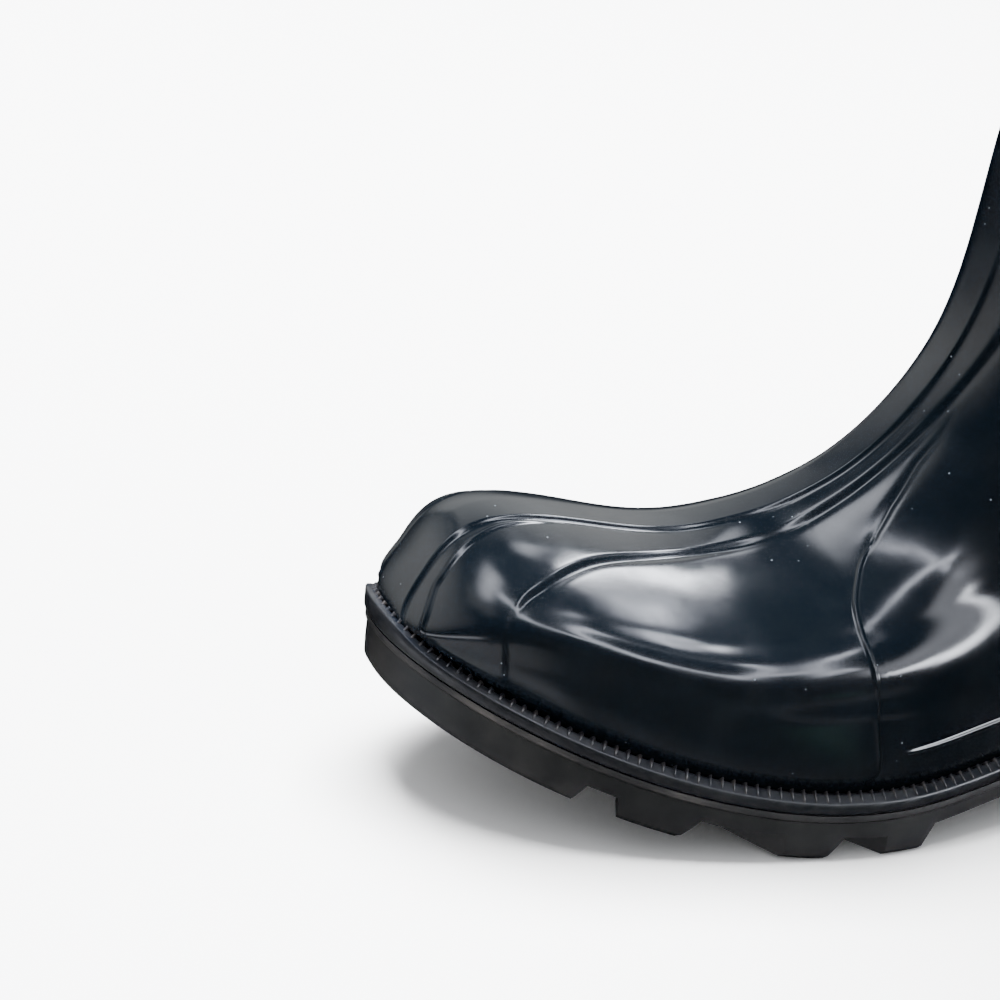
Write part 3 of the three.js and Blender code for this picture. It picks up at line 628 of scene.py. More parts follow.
def upper_lines(skin, sizes):
    """Ribs at ankle and heel and the second ridge beside the band, on both sides."""
    width = sizes.rib_width / MM
    rise = sizes.rib_rise / MM
    bodies = []
    for side in (OUTER, INNER):
        rib = along_line(skin, side, ANKLE_RIB, LINE_PITCH)
        ridge = along_line(skin, side, BESIDE_BAND, LINE_PITCH)
        bodies.append((*rib, width, rise, 0.06, 0.12))
        bodies.append((*ridge, 1.5 * width, sizes.ridge_rise / MM, 0.1, 0.35))
        line = heel_line(skin, side, HEEL_LINE_HEIGHT, HEEL_LINE_START)
        bodies.append((*line, width, 0.5 * rise, 0.04, 0.0))
    points = []
    faces = []
    count = 0
    for body in bodies:
        placed, made = moulded_line(*body, start=count)
        points.append(placed)
        faces += made
        count += len(placed)
    return clean_closed(mesh_from("upper_lines", np.concatenate(points), faces))


def grid_faces(rows, columns, start=0, flip=False):
    """Quads of a grid whose points are numbered row by row."""
    faces = []
    for i in range(rows - 1):
        for j in range(columns - 1):
            a = start + i * columns + j
            quad = (a, a + 1, a + columns + 1, a + columns)
            faces.append(quad[::-1] if flip else quad)
    return faces


def clean_closed(mesh):
    """Merges the points that coincide and turns all faces outward."""
    bm = bmesh.new()
    bm.from_mesh(mesh)
    bmesh.ops.remove_doubles(bm, verts=bm.verts, dist=1e-6)
    bmesh.ops.recalc_face_normals(bm, faces=bm.faces)
    bm.to_mesh(mesh)
    bm.free()
    for polygon in mesh.polygons:
        polygon.use_smooth = True
    return mesh


def foot_of(points, drop):
    """The points lowered into the welt, drop below its top."""
    lowered = points.copy()
    lowered[:, 2] = welt_height(np.clip(points[:, 1] + BOOT_LENGTH / 2, 0, BOOT_LENGTH)) - drop
    return lowered


def upper_mesh(skin):
    """The upper as one closed wall: fine outside, rounded rim, plain inside, and a foot in the welt."""
    stations, outside = skin.stations, skin.fine.copy()
    rows, columns = outside.shape[:2]
    inside = skin.plain - skin.normals * WALL
    closing = int(np.flatnonzero(stations <= CLOSING_STATION + 1e-6)[-1])
    kept = sorted({*range(0, rows, INNER_ROW_STEP), closing, closing + 1, rows - 1})
    middle = (outside[-1] + inside[-1]) / 2
    radius = np.linalg.norm(outside[-1] - inside[-1], axis=1) / 2
    lowering = radius.mean() * smooth((stations - RIM_STATION) / (LAST_STATION - RIM_STATION))
    outside[..., 2] -= lowering[:, None]
    inside[..., 2] -= lowering[:, None]
    middle[:, 2] -= lowering[-1]
    points = [outside.reshape(-1, 3), inside[kept].reshape(-1, 3)]
    outer_id = np.arange(rows * columns).reshape(rows, columns)
    inner_id = rows * columns + np.arange(len(kept) * columns).reshape(len(kept), columns)
    faces = grid_faces(rows, columns) + grid_faces(len(kept), columns, rows * columns, flip=True)
    count = outer_id.size + inner_id.size
    ring = outer_id[-1]
    for k in range(1, RIM_FACETS):
        turn = math.pi * k / RIM_FACETS
        lip = middle + (outside[-1] - middle) * math.cos(turn)
        lip[:, 2] = middle[:, 2] + radius * math.sin(turn)
        points.append(lip)
        following = np.arange(count, count + columns)
        count += columns
        faces += [(ring[j], ring[j + 1], following[j + 1], following[j]) for j in range(columns - 1)]
        ring = following
    last = inner_id[-1]
    faces += [(ring[j], ring[j + 1], last[j + 1], last[j]) for j in range(columns - 1)]
    row_of = {row: i for i, row in enumerate(kept)}
    outer_path = [(i, 0) for i in range(closing, 0, -1)] + [(0, j) for j in range(columns)]
    outer_path += [(i, columns - 1) for i in range(1, closing + 1)]
    shared = [k for k, (i, _) in enumerate(outer_path) if i in row_of]
    outer_ring = [outer_id[p] for p in outer_path]
    inner_ring = [inner_id[row_of[outer_path[k][0]], outer_path[k][1]] for k in shared]
    for ring, seam in ((outer_ring, outer_id[closing + 1, 0]), (inner_ring, inner_id[row_of[closing + 1], 0])):
        faces.append((ring[0], seam, ring[-1]))
    drop = WELT_THICKNESS - GAP
    low = []
    for ring in (outer_ring, inner_ring):
        top = np.concatenate(points)[ring]
        points.append(foot_of(top, drop))
        lowered = list(range(count, count + len(ring)))
        count += len(ring)
        for k in range(len(ring)):
            n = (k + 1) % len(ring)
            faces.append((ring[k], ring[n], lowered[n], lowered[k]))
        low.append(lowered)
    outer_low, inner_low = low
    for m in range(len(shared)):
        start = shared[m]
        end = shared[(m + 1) % len(shared)]
        between = range(start, end + 1) if end > start else [start, end]
        faces.append((*[outer_low[k] for k in between], inner_low[(m + 1) % len(shared)], inner_low[m]))
    return clean_closed(mesh_from("upper", np.concatenate(points), faces))


def lining_sheet(sizes):
    """Sheet just inside the wall, from the welt to below the rim."""
    skin = upper_skin(LINING_ROWS, LINING_COLUMNS, bpy.context.scene.boot_upper)
    below = skin.stations < LAST_STATION - LINING_BELOW_RIM / RIM_RUN
    sheet = (skin.plain - skin.normals * (WALL + sizes.lining_gap / MM))[below]
    faces = grid_faces(*sheet.shape[:2])
    return clean_closed(mesh_from("lining", sheet.reshape(-1, 3), faces))


def foot_stops(count):
    """Shares of the length along the foot, closest at toe and heel."""
    return (1 - np.cos(np.linspace(0, math.pi, count + 1))) / 2


def foot_loop(inset, count):
    """Closed outline inset from the welt's edge, as x and distance from the tip."""
    share = foot_stops(count)
    share = np.concatenate([share, share[-2:0:-1]])
    side = np.where(np.arange(len(share)) <= count, 1, -1)
    inset = inset(share * BOOT_LENGTH, side) if callable(inset) else np.full(len(share), float(inset))
    along = inset + (BOOT_LENGTH - 2 * inset) * share
    x = np.where(side > 0, half_width(along, OUTER, inset), -half_width(along, INNER, inset))
    return x, along


def stacked(layers, count, closed_ring):
    """Points and faces between outlines. Each layer is (inset, height function). A ring closes on itself."""
    points = []
    faces = []
    size = 2 * count
    for inset, height in layers:
        x, along = foot_loop(inset, count)
        points.append(np.stack([x, along - BOOT_LENGTH / 2, height(along) * np.ones_like(x)], 1))
    pairs = list(zip(range(len(layers) - 1), range(1, len(layers))))
    if closed_ring:
        pairs.append((len(layers) - 1, 0))
    for low, high in pairs:
        for i in range(size):
            j = (i + 1) % size
            faces.append((low * size + i, low * size + j, high * size + j, high * size + i))
    if not closed_ring:
        for level in (0, len(layers) - 1):
            for i in range(count):
                a, b, c, d = i, i + 1, (size - i) % size, size - i - 1
                corners = dict.fromkeys([a, b, d, c] if i else [a, b, d])
                face = [level * size + k for k in dict.fromkeys(corners)]
                if len(set(face)) > 2:
                    faces.append(tuple(face))
    return np.concatenate(points), faces


def upper_standing_out(along):
    """How far band and cap stand out over the welt at a distance from the tip."""
    return 1.7 - 0.9 * smooth((along - 9) / 1.5) - 0.8 * smooth((along - 37) / 3)


def welt_mesh():
    """Ring round the upper: upright edge, slope for the teeth, groove, and a raised lip at the tip."""
    def lip(along, inset):
        return TOE_LIP * bump(along, 5.5) * (1 - 0.5 * inset / WELT_LEDGE)

    def level(below, inset):
        return lambda along: welt_height(along) - below + lip(along, inset)

    def flat(below):
        return lambda along: welt_height(along) - below

    def beside_upper(clearance):
        return lambda along, side: WELT_LEDGE - clearance - upper_standing_out(along)

    layers = [
        (beside_upper(0.1), flat(WELT_THICKNESS)),
        (0.9, flat(WELT_THICKNESS)),
        (0.35, flat(WELT_THICKNESS - 0.2)),
        (0.05, flat(WELT_THICKNESS - 0.8)),
        (0.0, flat(3.2)),
        (0.04, level(2.5, 0)),
        (0.2, level(2.15, 0.2)),
        (0.45, level(1.95, 0.4)),
        (1.5, level(1.25, 1.5)),
        (TEETH_INSET - 0.2, level(CREST_BELOW + 0.05, 2)),
        (TEETH_INSET, level(CREST_BELOW, 2)),
        (TEETH_INSET + 0.2, level(CREST_BELOW + 0.15, 2)),
        (TEETH_INSET + 0.4, level(1.1, 3)),
        (beside_upper(0.4), level(1.3, 4)),
        (beside_upper(0.1), level(1.7, 5)),
    ]
    points, faces = stacked(layers, WELT_STEPS, closed_ring=True)
    return clean_closed(mesh_from("welt", points, faces))


def tooth_mesh(sizes):
    """A tooth that lies on the welt's slope: its crest end at the origin, its low end towards -Y."""
    half = sizes.tooth_width / MM / 2
    top = sizes.tooth_height / MM
    end = -sizes.tooth_length / MM
    ridge = 0.18
    points = [
        (-half, 0.8, -0.7), (half, 0.8, -0.7), (ridge, 0.55, top), (-ridge, 0.55, top),
        (-0.7 * half, end, -0.5), (0.7 * half, end, -0.5), (0.6 * ridge, end, 0.05), (-0.6 * ridge, end, 0.05),
    ]
    faces = [(0, 1, 2, 3), (7, 6, 5, 4), (1, 0, 4, 5), (3, 2, 6, 7), (2, 1, 5, 6), (0, 3, 7, 4)]
    return clean_closed(mesh_from("tooth", points, faces))


def teeth_tree(material):
    """Node tree that sets a tooth every pitch along the welt's crest, tilted down its slope."""
    tree = bpy.data.node_groups.new("welt_teeth", "GeometryNodeTree")
    sockets = tree.interface
    sockets.new_socket("Geometry", in_out="INPUT", socket_type="NodeSocketGeometry")
    sockets.new_socket("Tooth", in_out="INPUT", socket_type="NodeSocketObject")
    sockets.new_socket("Pitch", in_out="INPUT", socket_type="NodeSocketFloat")
    sockets.new_socket("Slope", in_out="INPUT", socket_type="NodeSocketFloat")
    sockets.new_socket("Seed", in_out="INPUT", socket_type="NodeSocketInt")
    sockets.new_socket("Geometry", in_out="OUTPUT", socket_type="NodeSocketGeometry")
    given = add_node(tree, "NodeGroupInput").outputs
    path = add_node(tree, "GeometryNodeMeshToCurve", {"Mesh": given["Geometry"]})
    spacing = {"Curve": path.outputs[0], "Length": given["Pitch"]}
    even = add_node(tree, "GeometryNodeResampleCurve", spacing, mode="LENGTH")
    tooth = add_node(tree, "GeometryNodeObjectInfo", {"Object": given["Tooth"]})
    up = add_node(tree, "GeometryNodeInputNamedAttribute", {"Name": "up"}, data_type="FLOAT_VECTOR")
    inward = add_node(tree, "GeometryNodeInputNamedAttribute", {"Name": "inward"}, data_type="FLOAT_VECTOR")
    upright = add_node(tree, "FunctionNodeAlignRotationToVector", {"Vector": up.outputs[0]}, axis="Z")
    heading = {"Rotation": upright.outputs[0], "Vector": inward.outputs[0]}
    facing = add_node(tree, "FunctionNodeAlignRotationToVector", heading, axis="Y", pivot_axis="Z")
    tilt = add_node(tree, "ShaderNodeCombineXYZ", {"X": given["Slope"]})
    turn = add_node(tree, "FunctionNodeEulerToRotation", {"Euler": tilt.outputs[0]})
    tilted = add_node(
        tree, "FunctionNodeRotateRotation", {"Rotation": facing.outputs[0], "Rotate By": turn.outputs[0]},
        rotation_space="LOCAL",
    )
    wear = {"Min": (0.85, 0.94, 0.8), "Max": (1.15, 1.04, 1.1), "Seed": given["Seed"]}
    chance = add_node(tree, "FunctionNodeRandomValue", wear, data_type="FLOAT_VECTOR")
    placed = add_node(tree, "GeometryNodeInstanceOnPoints", {
        "Points": even.outputs[0], "Instance": tooth.outputs["Geometry"], "Rotation": tilted.outputs[0],
        "Scale": chance.outputs[0],
    })
    real = add_node(tree, "GeometryNodeRealizeInstances", {"Geometry": placed.outputs[0]})
    painted = add_node(tree, "GeometryNodeSetMaterial", {"Geometry": real.outputs[0], "Material": material})
    add_node(tree, "NodeGroupOutput", {"Geometry": painted.outputs[0]})
    return tree


def teeth_object(sizes, material):
    """Teeth of the welt along its crest."""
    x, along = foot_loop(TEETH_INSET, WELT_STEPS)
    z = welt_height(along) - CREST_BELOW - 0.05 + 0.8 * TOE_LIP * bump(along, 5.5)
    points = np.stack([x, along - BOOT_LENGTH / 2, z], 1)
    tangent = np.roll(points, -1, 0) - np.roll(points, 1, 0)
    tangent /= np.linalg.norm(tangent, axis=1, keepdims=True)
    inward = np.cross([0, 0, 1], tangent)
    inward /= np.linalg.norm(inward, axis=1, keepdims=True)
    mesh = bpy.data.meshes.new("welt_teeth")
    edges = [(i, (i + 1) % len(points)) for i in range(len(points))]
    mesh.from_pydata((points * MM).tolist(), edges, [])
    for name, values in (("inward", inward), ("up", np.cross(tangent, inward))):
        stored = mesh.attributes.new(name, "FLOAT_VECTOR", "POINT")
        stored.data.foreach_set("vector", values.astype(np.float32).ravel())
    obj = new_object("welt_teeth", mesh)
    tooth = new_object("tooth", tooth_mesh(sizes))
    tree = teeth_tree(material)
    repeat = obj.modifiers.new("teeth", "NODES")
    repeat.node_group = tree
    values = {"Tooth": tooth, "Pitch": sizes.tooth_pitch, "Slope": TEETH_SLOPE, "Seed": 7}
    for item in tree.interface.items_tree:
        if item.in_out == "INPUT" and item.name in values:
            repeat[item.identifier] = values[item.name]
    applied(obj)
    bpy.data.objects.remove(tooth)
    return obj


# Gaps between the lugs as in the solids: start and end at the sole's edge as shares of the length, and the slope
CHEVRON_SLOPE = 0.72
LUG_GAPS = [
    (0.132, 0.173, -CHEVRON_SLOPE / 2), (0.233, 0.313, CHEVRON_SLOPE), (0.356, 0.411, CHEVRON_SLOPE),
    (0.785, 0.83, CHEVRON_SLOPE), (0.892, 0.932, CHEVRON_SLOPE),
]
ARCH = (0.442, 0.69, 0)
CHEVRON_RUN = 0.24 * BALL_WIDTH
LUG_SLOPE = 4
LUG_DEPTH = 5.4
ARCH_CLEARANCE = 11.8
SOLE_INSET = 1.1
SOLE_STEP_HEIGHT = 2.2


def sole_top(along):
    """Height of the sole's top under the welt."""
    return welt_height(along) - WELT_THICKNESS - GAP


def lug_face(along):
    """Height of the underside of the lugs, which rises at the toe."""
    return np.maximum(0, welt_height(along) - SOLE_THICKNESS) * (along < SPRING_END)


def gap_cutter(name, start, end, slope, roof):
    """Body that cuts one gap. It runs inwards from the sole's edges on its slope, then straight across."""
    rows = []
    for side in (INNER, OUTER):
        edge = float(half_width((start + end) / 2 * BOOT_LENGTH, side, 0))
        rows.append((side.sign * (edge + CHEVRON_RUN), -slope * CHEVRON_RUN))
        rows.append((side.sign * (edge - CHEVRON_RUN), slope * CHEVRON_RUN))
    points = []
    for x, shift in sorted(rows):
        low = start * BOOT_LENGTH - shift
        high = end * BOOT_LENGTH - shift
        section = [(low, -SOLE_THICKNESS), (high, -SOLE_THICKNESS), (high, roof(high))]
        section += [(low + LUG_SLOPE, roof(low + LUG_SLOPE)), (low, float(lug_face(low)))]
        points += [(x, along - BOOT_LENGTH / 2, z) for along, z in section]
    corners = 5
    faces = [tuple(range(corners)), tuple(range(3 * corners, 4 * corners))]
    for r in range(3):
        for c in range(corners):
            d = (c + 1) % corners
            faces.append((r * corners + c, r * corners + d, (r + 1) * corners + d, (r + 1) * corners + c))
    return new_object(name, clean_closed(mesh_from(name, points, faces)))


def applied(obj):
    """The object with its modifiers' result as a plain mesh."""
    made = bpy.data.meshes.new_from_object(obj.evaluated_get(bpy.context.evaluated_depsgraph_get()))
    obj.modifiers.clear()
    old = obj.data
    obj.data = made
    made.name = obj.name
    bpy.data.meshes.remove(old)
    return obj


def outsole_object(sizes):
    """Lugged sole with a thin course under the welt, rounded edges and gaps between the lugs."""
    def step_top(along):
        return sole_top(along) - SOLE_STEP_HEIGHT

    layers = [
        (SOLE_INSET + 1, lug_face),
        (SOLE_INSET, lambda along: lug_face(along) + 1),
        (SOLE_INSET - 0.1, lambda along: (lug_face(along) + step_top(along)) / 2),
        (SOLE_INSET, step_top),
        (SOLE_INSET / 2, lambda along: step_top(along) + SOLE_INSET / 2),
        (SOLE_INSET / 2, sole_top),
    ]
    points, faces = stacked(layers, SOLE_STEPS, closed_ring=False)
    obj = new_object("outsole", clean_closed(mesh_from("outsole", points, faces)))
    def gap_roof(along):
        return float(lug_face(along)) + LUG_DEPTH

    def arch_roof(along):
        return float(welt_height(along)) - ARCH_CLEARANCE

    cutters = [gap_cutter(f"gap_{i}", *gap, gap_roof) for i, gap in enumerate(LUG_GAPS)]
    cutters.append(gap_cutter("arch", *ARCH, arch_roof))
    for cutter in cutters:
        cut = obj.modifiers.new("cut", "BOOLEAN")
        cut.operation = "DIFFERENCE"
        cut.solver = "EXACT"
        cut.object = cutter
    applied(obj)
    for cutter in cutters:
        bpy.data.objects.remove(cutter)
    rounded = obj.modifiers.new("rounded", "BEVEL")
    rounded.limit_method = "ANGLE"
    rounded.angle_limit = math.radians(32)
    rounded.width = sizes.lug_round
    rounded.segments = 3
    applied(obj)
    mesh = obj.data
    for polygon in mesh.polygons:
        polygon.use_smooth = True
    mesh.set_sharp_from_angle(angle=math.radians(40))
    below = mesh.attributes.new("below_welt", "FLOAT", "POINT")
    place = np.array([vertex.co for vertex in mesh.vertices]) / MM
    depth = welt_height(np.clip(place[:, 1] + BOOT_LENGTH / 2, 0, BOOT_LENGTH)) - place[:, 2]
    below.data.foreach_set("value", depth.astype(np.float32))
    tip = mesh.attributes.new("from_tip", "FLOAT", "POINT")
    tip.data.foreach_set("value", (place[:, 1] + BOOT_LENGTH / 2).astype(np.float32))
    return obj


def insole_mesh():
    """Felt sheet on the sole with softened edges."""
    inset = WELT_LEDGE + WALL + 1
    base = lambda along: sole_top(along) + GAP
    layers = [
        (inset + 0.3, base),
        (inset, lambda along: base(along) + 0.4),
        (inset, lambda along: base(along) + 3.2),
        (inset + 0.3, lambda along: base(along) + 3.7),
        (inset + 1, lambda along: base(along) + 4),
    ]
    points, faces = stacked(layers, INSOLE_STEPS, closed_ring=False)
    return clean_closed(mesh_from("insole", points, faces))


def add_node(tree, kind, inputs=None, **settings):
    """A node with its settings, and its inputs as values or as other nodes' outputs."""
    node = tree.nodes.new(kind)
    for name, value in settings.items():
        setattr(node, name, value)
    for key, value in (inputs or {}).items():
        if isinstance(value, bpy.types.NodeSocket):
            tree.links.new(value, node.inputs[key])
        else:
            node.inputs[key].default_value = value
    return node


def new_material(name):
    material = bpy.data.materials.new(name)
    material.use_nodes = True
    material.node_tree.nodes.clear()
    return material, material.node_tree


def close_material(tree, shader):
    add_node(tree, "ShaderNodeOutputMaterial", {"Surface": shader.outputs[0]})


def noise(tree, vector, scale, detail=3.0, roughness=0.5):
    settings = {"Vector": vector, "Scale": scale, "Detail": detail, "Roughness": roughness}
    return add_node(tree, "ShaderNodeTexNoise", settings).outputs["Fac"]


def ramp(tree, value, low, high, to_low=0.0, to_high=1.0):
    settings = {"Value": value, "From Min": low, "From Max": high, "To Min": to_low, "To Max": to_high}
    return add_node(tree, "ShaderNodeMapRange", settings, interpolation_type="SMOOTHSTEP").outputs["Result"]


def product(tree, a, b):
    return add_node(tree, "ShaderNodeMath", {0: a, 1: b}, operation="MULTIPLY").outputs[0]


def stored_value(tree, name):
    """A value that the mesh carries at its points."""
    return add_node(tree, "ShaderNodeAttribute", attribute_name=name, attribute_type="GEOMETRY").outputs["Fac"]


def blend_colours(tree, factor, a, b):
    node = add_node(tree, "ShaderNodeMix", {"Factor": factor}, data_type="RGBA")
    for socket, value in (("A", a), ("B", b)):
        target = [s for s in node.inputs if s.name == socket and s.type == "RGBA"][0]
        if isinstance(value, bpy.types.NodeSocket):
            tree.links.new(value, target)
        else:
            target.default_value = value
    return [s for s in node.outputs if s.type == "RGBA"][0]


def lacquered_rubber(sizes):
    """Moulded rubber under clear lacquer: almost black with a blue cast, with specks of dust."""
    material, tree = new_material("lacquered_moulded_rubber")
    place = add_node(tree, "ShaderNodeTexCoord").outputs["Object"]
    specks = add_node(tree, "ShaderNodeTexVoronoi", {"Vector": place, "Scale": 0.36 / MM}, feature="F1")
    dots = ramp(tree, specks.outputs["Distance"], 0.09, 0.05)
    draw = add_node(tree, "ShaderNodeSeparateColor", {"Color": specks.outputs["Color"]}).outputs[0]
    chosen = ramp(tree, draw, 0.72, 0.8)
    cloud = ramp(tree, noise(tree, place, 28, 4), 0.42, 0.65, 0, 0.5)
    dust = product(tree, product(tree, dots, chosen), cloud)
    film = ramp(tree, noise(tree, place, 60, 5), 0.45, 0.85, 0, 0.006)
    dusty = add_node(tree, "ShaderNodeMath", {0: dust, 1: film}, operation="MAXIMUM").outputs[0]
    base = blend_colours(tree, dusty, tuple(sizes.rubber), tuple(sizes.dust))
    smear = ramp(tree, noise(tree, place, 90, 6, 0.6), 0.3, 0.75, 0.15, 0.22)
    rough = add_node(tree, "ShaderNodeMath", {0: smear, 1: dust}, operation="ADD").outputs[0]
    ripple = noise(tree, place, 55, 2)
    grain = noise(tree, place, 1.1 / MM, 3)
    low = add_node(tree, "ShaderNodeBump", {"Height": ripple, "Strength": 0.25, "Distance": 0.4 * MM})
    fine = add_node(tree, "ShaderNodeBump", {
        "Height": grain, "Strength": 0.2, "Distance": 0.03 * MM, "Normal": low.outputs[0],
    })
    shader = add_node(tree, "ShaderNodeBsdfPrincipled", {
        "Base Color": base, "Roughness": rough, "IOR": 1.52, "Normal": fine.outputs[0],
    })
    close_material(tree, shader)
    return material


def satin_rubber(name, sizes, dustiest):
    """Moulded rubber of the welt: dark navy, satin, with dust in the grain."""
    material, tree = new_material(name)
    place = add_node(tree, "ShaderNodeTexCoord").outputs["Object"]
    dust = ramp(tree, noise(tree, place, 0.35 / MM, 6, 0.7), 0.35, 0.7, 0, dustiest)
    base = blend_colours(tree, dust, tuple(sizes.welt_rubber), tuple(sizes.dust))
    rough = ramp(tree, noise(tree, place, 0.2 / MM, 4), 0.3, 0.7, 0.28, 0.45)
    pits = noise(tree, place, 0.9 / MM, 3)
    grain = add_node(tree, "ShaderNodeBump", {"Height": pits, "Strength": 0.3, "Distance": 0.06 * MM})
    shader = add_node(tree, "ShaderNodeBsdfPrincipled", {
        "Base Color": base, "Roughness": rough, "IOR": 1.52, "Normal": grain.outputs[0],
    })
    close_material(tree, shader)
    return material


def sole_rubber(sizes):
    """Matt moulded rubber: near black, with dried dust under the welt and scuffs on the lugs."""
    material, tree = new_material("matt_sole_rubber")
    place = add_node(tree, "ShaderNodeTexCoord").outputs["Object"]
    below = stored_value(tree, "below_welt")
    along = stored_value(tree, "from_tip")
    course = product(tree, ramp(tree, below, 5.6, 6.1), ramp(tree, below, 8.2, 7.2))
    patches = ramp(tree, noise(tree, place, 30, 5, 0.65), 0.4, 0.7, 0.05, 0.6)
    dried = product(tree, product(tree, course, patches), ramp(tree, along, 60, 110, 1, 0.25))
    haze = ramp(tree, noise(tree, place, 45, 6, 0.65), 0.4, 0.85, 0, 0.22)
    marks = ramp(tree, noise(tree, place, 0.16 / MM, 8, 0.75), 0.66, 0.74, 0, 0.35)
    dust = add_node(tree, "ShaderNodeMath", {0: dried, 1: haze}, operation="MAXIMUM").outputs[0]
    dust = add_node(tree, "ShaderNodeMath", {0: dust, 1: marks}, operation="MAXIMUM").outputs[0]
    base = blend_colours(tree, dust, tuple(sizes.sole_rubber), tuple(sizes.dust))
    pits = noise(tree, place, 0.7 / MM, 5)
    grain = add_node(tree, "ShaderNodeBump", {"Height": pits, "Strength": 0.4, "Distance": 0.08 * MM})
    rough = ramp(tree, dust, 0, 1, 0.5, 0.85)
    shader = add_node(tree, "ShaderNodeBsdfPrincipled", {
        "Base Color": base, "Roughness": rough, "IOR": 1.5, "Normal": grain.outputs[0],
    })
    close_material(tree, shader)
    return material


def fabric(name, base_colour, scale, relief_depth):
    """Knitted or felted fabric: soft mottled fibres in fine relief."""
    material, tree = new_material(name)
    place = add_node(tree, "ShaderNodeTexCoord").outputs["Object"]
    fibres = noise(tree, place, scale / MM, 5, 0.65)
    dark = tuple(c * 0.55 for c in base_colour[:3]) + (1,)
    base = blend_colours(tree, ramp(tree, fibres, 0.3, 0.7), dark, tuple(base_colour))
    lift = add_node(tree, "ShaderNodeBump", {"Height": fibres, "Strength": 0.8, "Distance": relief_depth * MM})
    shader = add_node(tree, "ShaderNodeBsdfPrincipled", {
        "Base Color": base, "Roughness": 0.95, "Sheen Weight": 0.3, "Sheen Roughness": 0.5,
        "Normal": lift.outputs[0],
    })
    close_material(tree, shader)
    return material


UPPER_ROWS = 330
UPPER_COLUMNS = {OUTER: 125, INNER: 84}
INNER_ROW_STEP = 6
RIM_FACETS = 6
LINING_ROWS = 110
LINING_COLUMNS = {OUTER: 44, INNER: 44}
LINING_BELOW_RIM = 5
WELT_STEPS = 260
SOLE_STEPS = 150
INSOLE_STEPS = 90
TEETH_INSET = 2.5
TEETH_SLOPE = math.radians(31)
CREST_BELOW = 0.6
TOE_LIP = 2.2


class BOOT_OT_upper(bpy.types.Operator):
    """Make the lacquered upper from its sections, with band, cap, ribs and hollows"""

    bl_idname = "boot.make_upper"
    bl_label = "Make upper"

    def execute(self, context):
        sizes = context.scene.boot_upper
        skin = upper_skin(UPPER_ROWS, UPPER_COLUMNS, sizes)
        material = lacquered_rubber(sizes)
        wall = new_object("upper_skin", upper_mesh(skin))
        wall.data.materials.append(material)
        finish_piece(wall, "upper_rubber", "upper")
        lines = new_object("upper_lines", upper_lines(skin, sizes))
        lines.data.materials.append(material)
        finish_piece(lines, "upper_rubber")
        return {"FINISHED"}


class BOOT_OT_welt(bpy.types.Operator):
    """Make the welt and the teeth along its channel"""

    bl_idname = "boot.make_welt"
    bl_label = "Make welt"

    def execute(self, context):
        sizes = context.scene.boot_sole
        ring = new_object("welt_ring", welt_mesh())
        ring.data.materials.append(satin_rubber("satin_moulded_rubber", sizes, 0.1))
        finish_piece(ring, "welt_rubber", "welt")
        teeth = teeth_object(sizes, satin_rubber("dusty_moulded_rubber", sizes, 0.4))
        finish_piece(teeth, "welt_rubber")
        return {"FINISHED"}


class BOOT_OT_outsole(bpy.types.Operator):
    """Make the lugged outsole"""

    bl_idname = "boot.make_outsole"
    bl_label = "Make outsole"

    def execute(self, context):
        sizes = context.scene.boot_sole
        obj = outsole_object(sizes)
        obj.name = "lugged_sole"
        obj.data.materials.clear()
        obj.data.materials.append(sole_rubber(sizes))
        finish_piece(obj, "sole_rubber", "outsole")
        return {"FINISHED"}


class BOOT_OT_inside(bpy.types.Operator):
    """Make the felt insole and the knitted lining"""

    bl_idname = "boot.make_inside"
    bl_label = "Make insole and lining"

    def execute(self, context):
        sizes = context.scene.boot_lining
        sheet = new_object("felt_insole", insole_mesh())
        sheet.data.materials.append(fabric("needled_felt", sizes.felt, 0.5, 0.25))
        finish_piece(sheet, "insole_felt", "insole")
        lining = new_object("knit_lining", lining_sheet(sizes))
        lining.data.materials.append(fabric("knitted_cotton", sizes.knit, 0.8, 0.2))
        thick = lining.modifiers.new("thickness", "SOLIDIFY")
        thick.thickness = sizes.lining_thickness
        thick.offset = -1
        applied(lining)
        finish_piece(lining, "insole_felt")
        return {"FINISHED"}


# The photo's camera in the boot's frame, in metres
CAMERA_PLACE = (0.6509, -0.3523, 0.3310)
CAMERA_LOOK = (-0.885, 0.314, -0.345)
CAMERA_ROLL = math.radians(6.0)
CAMERA_LENS = 106.16
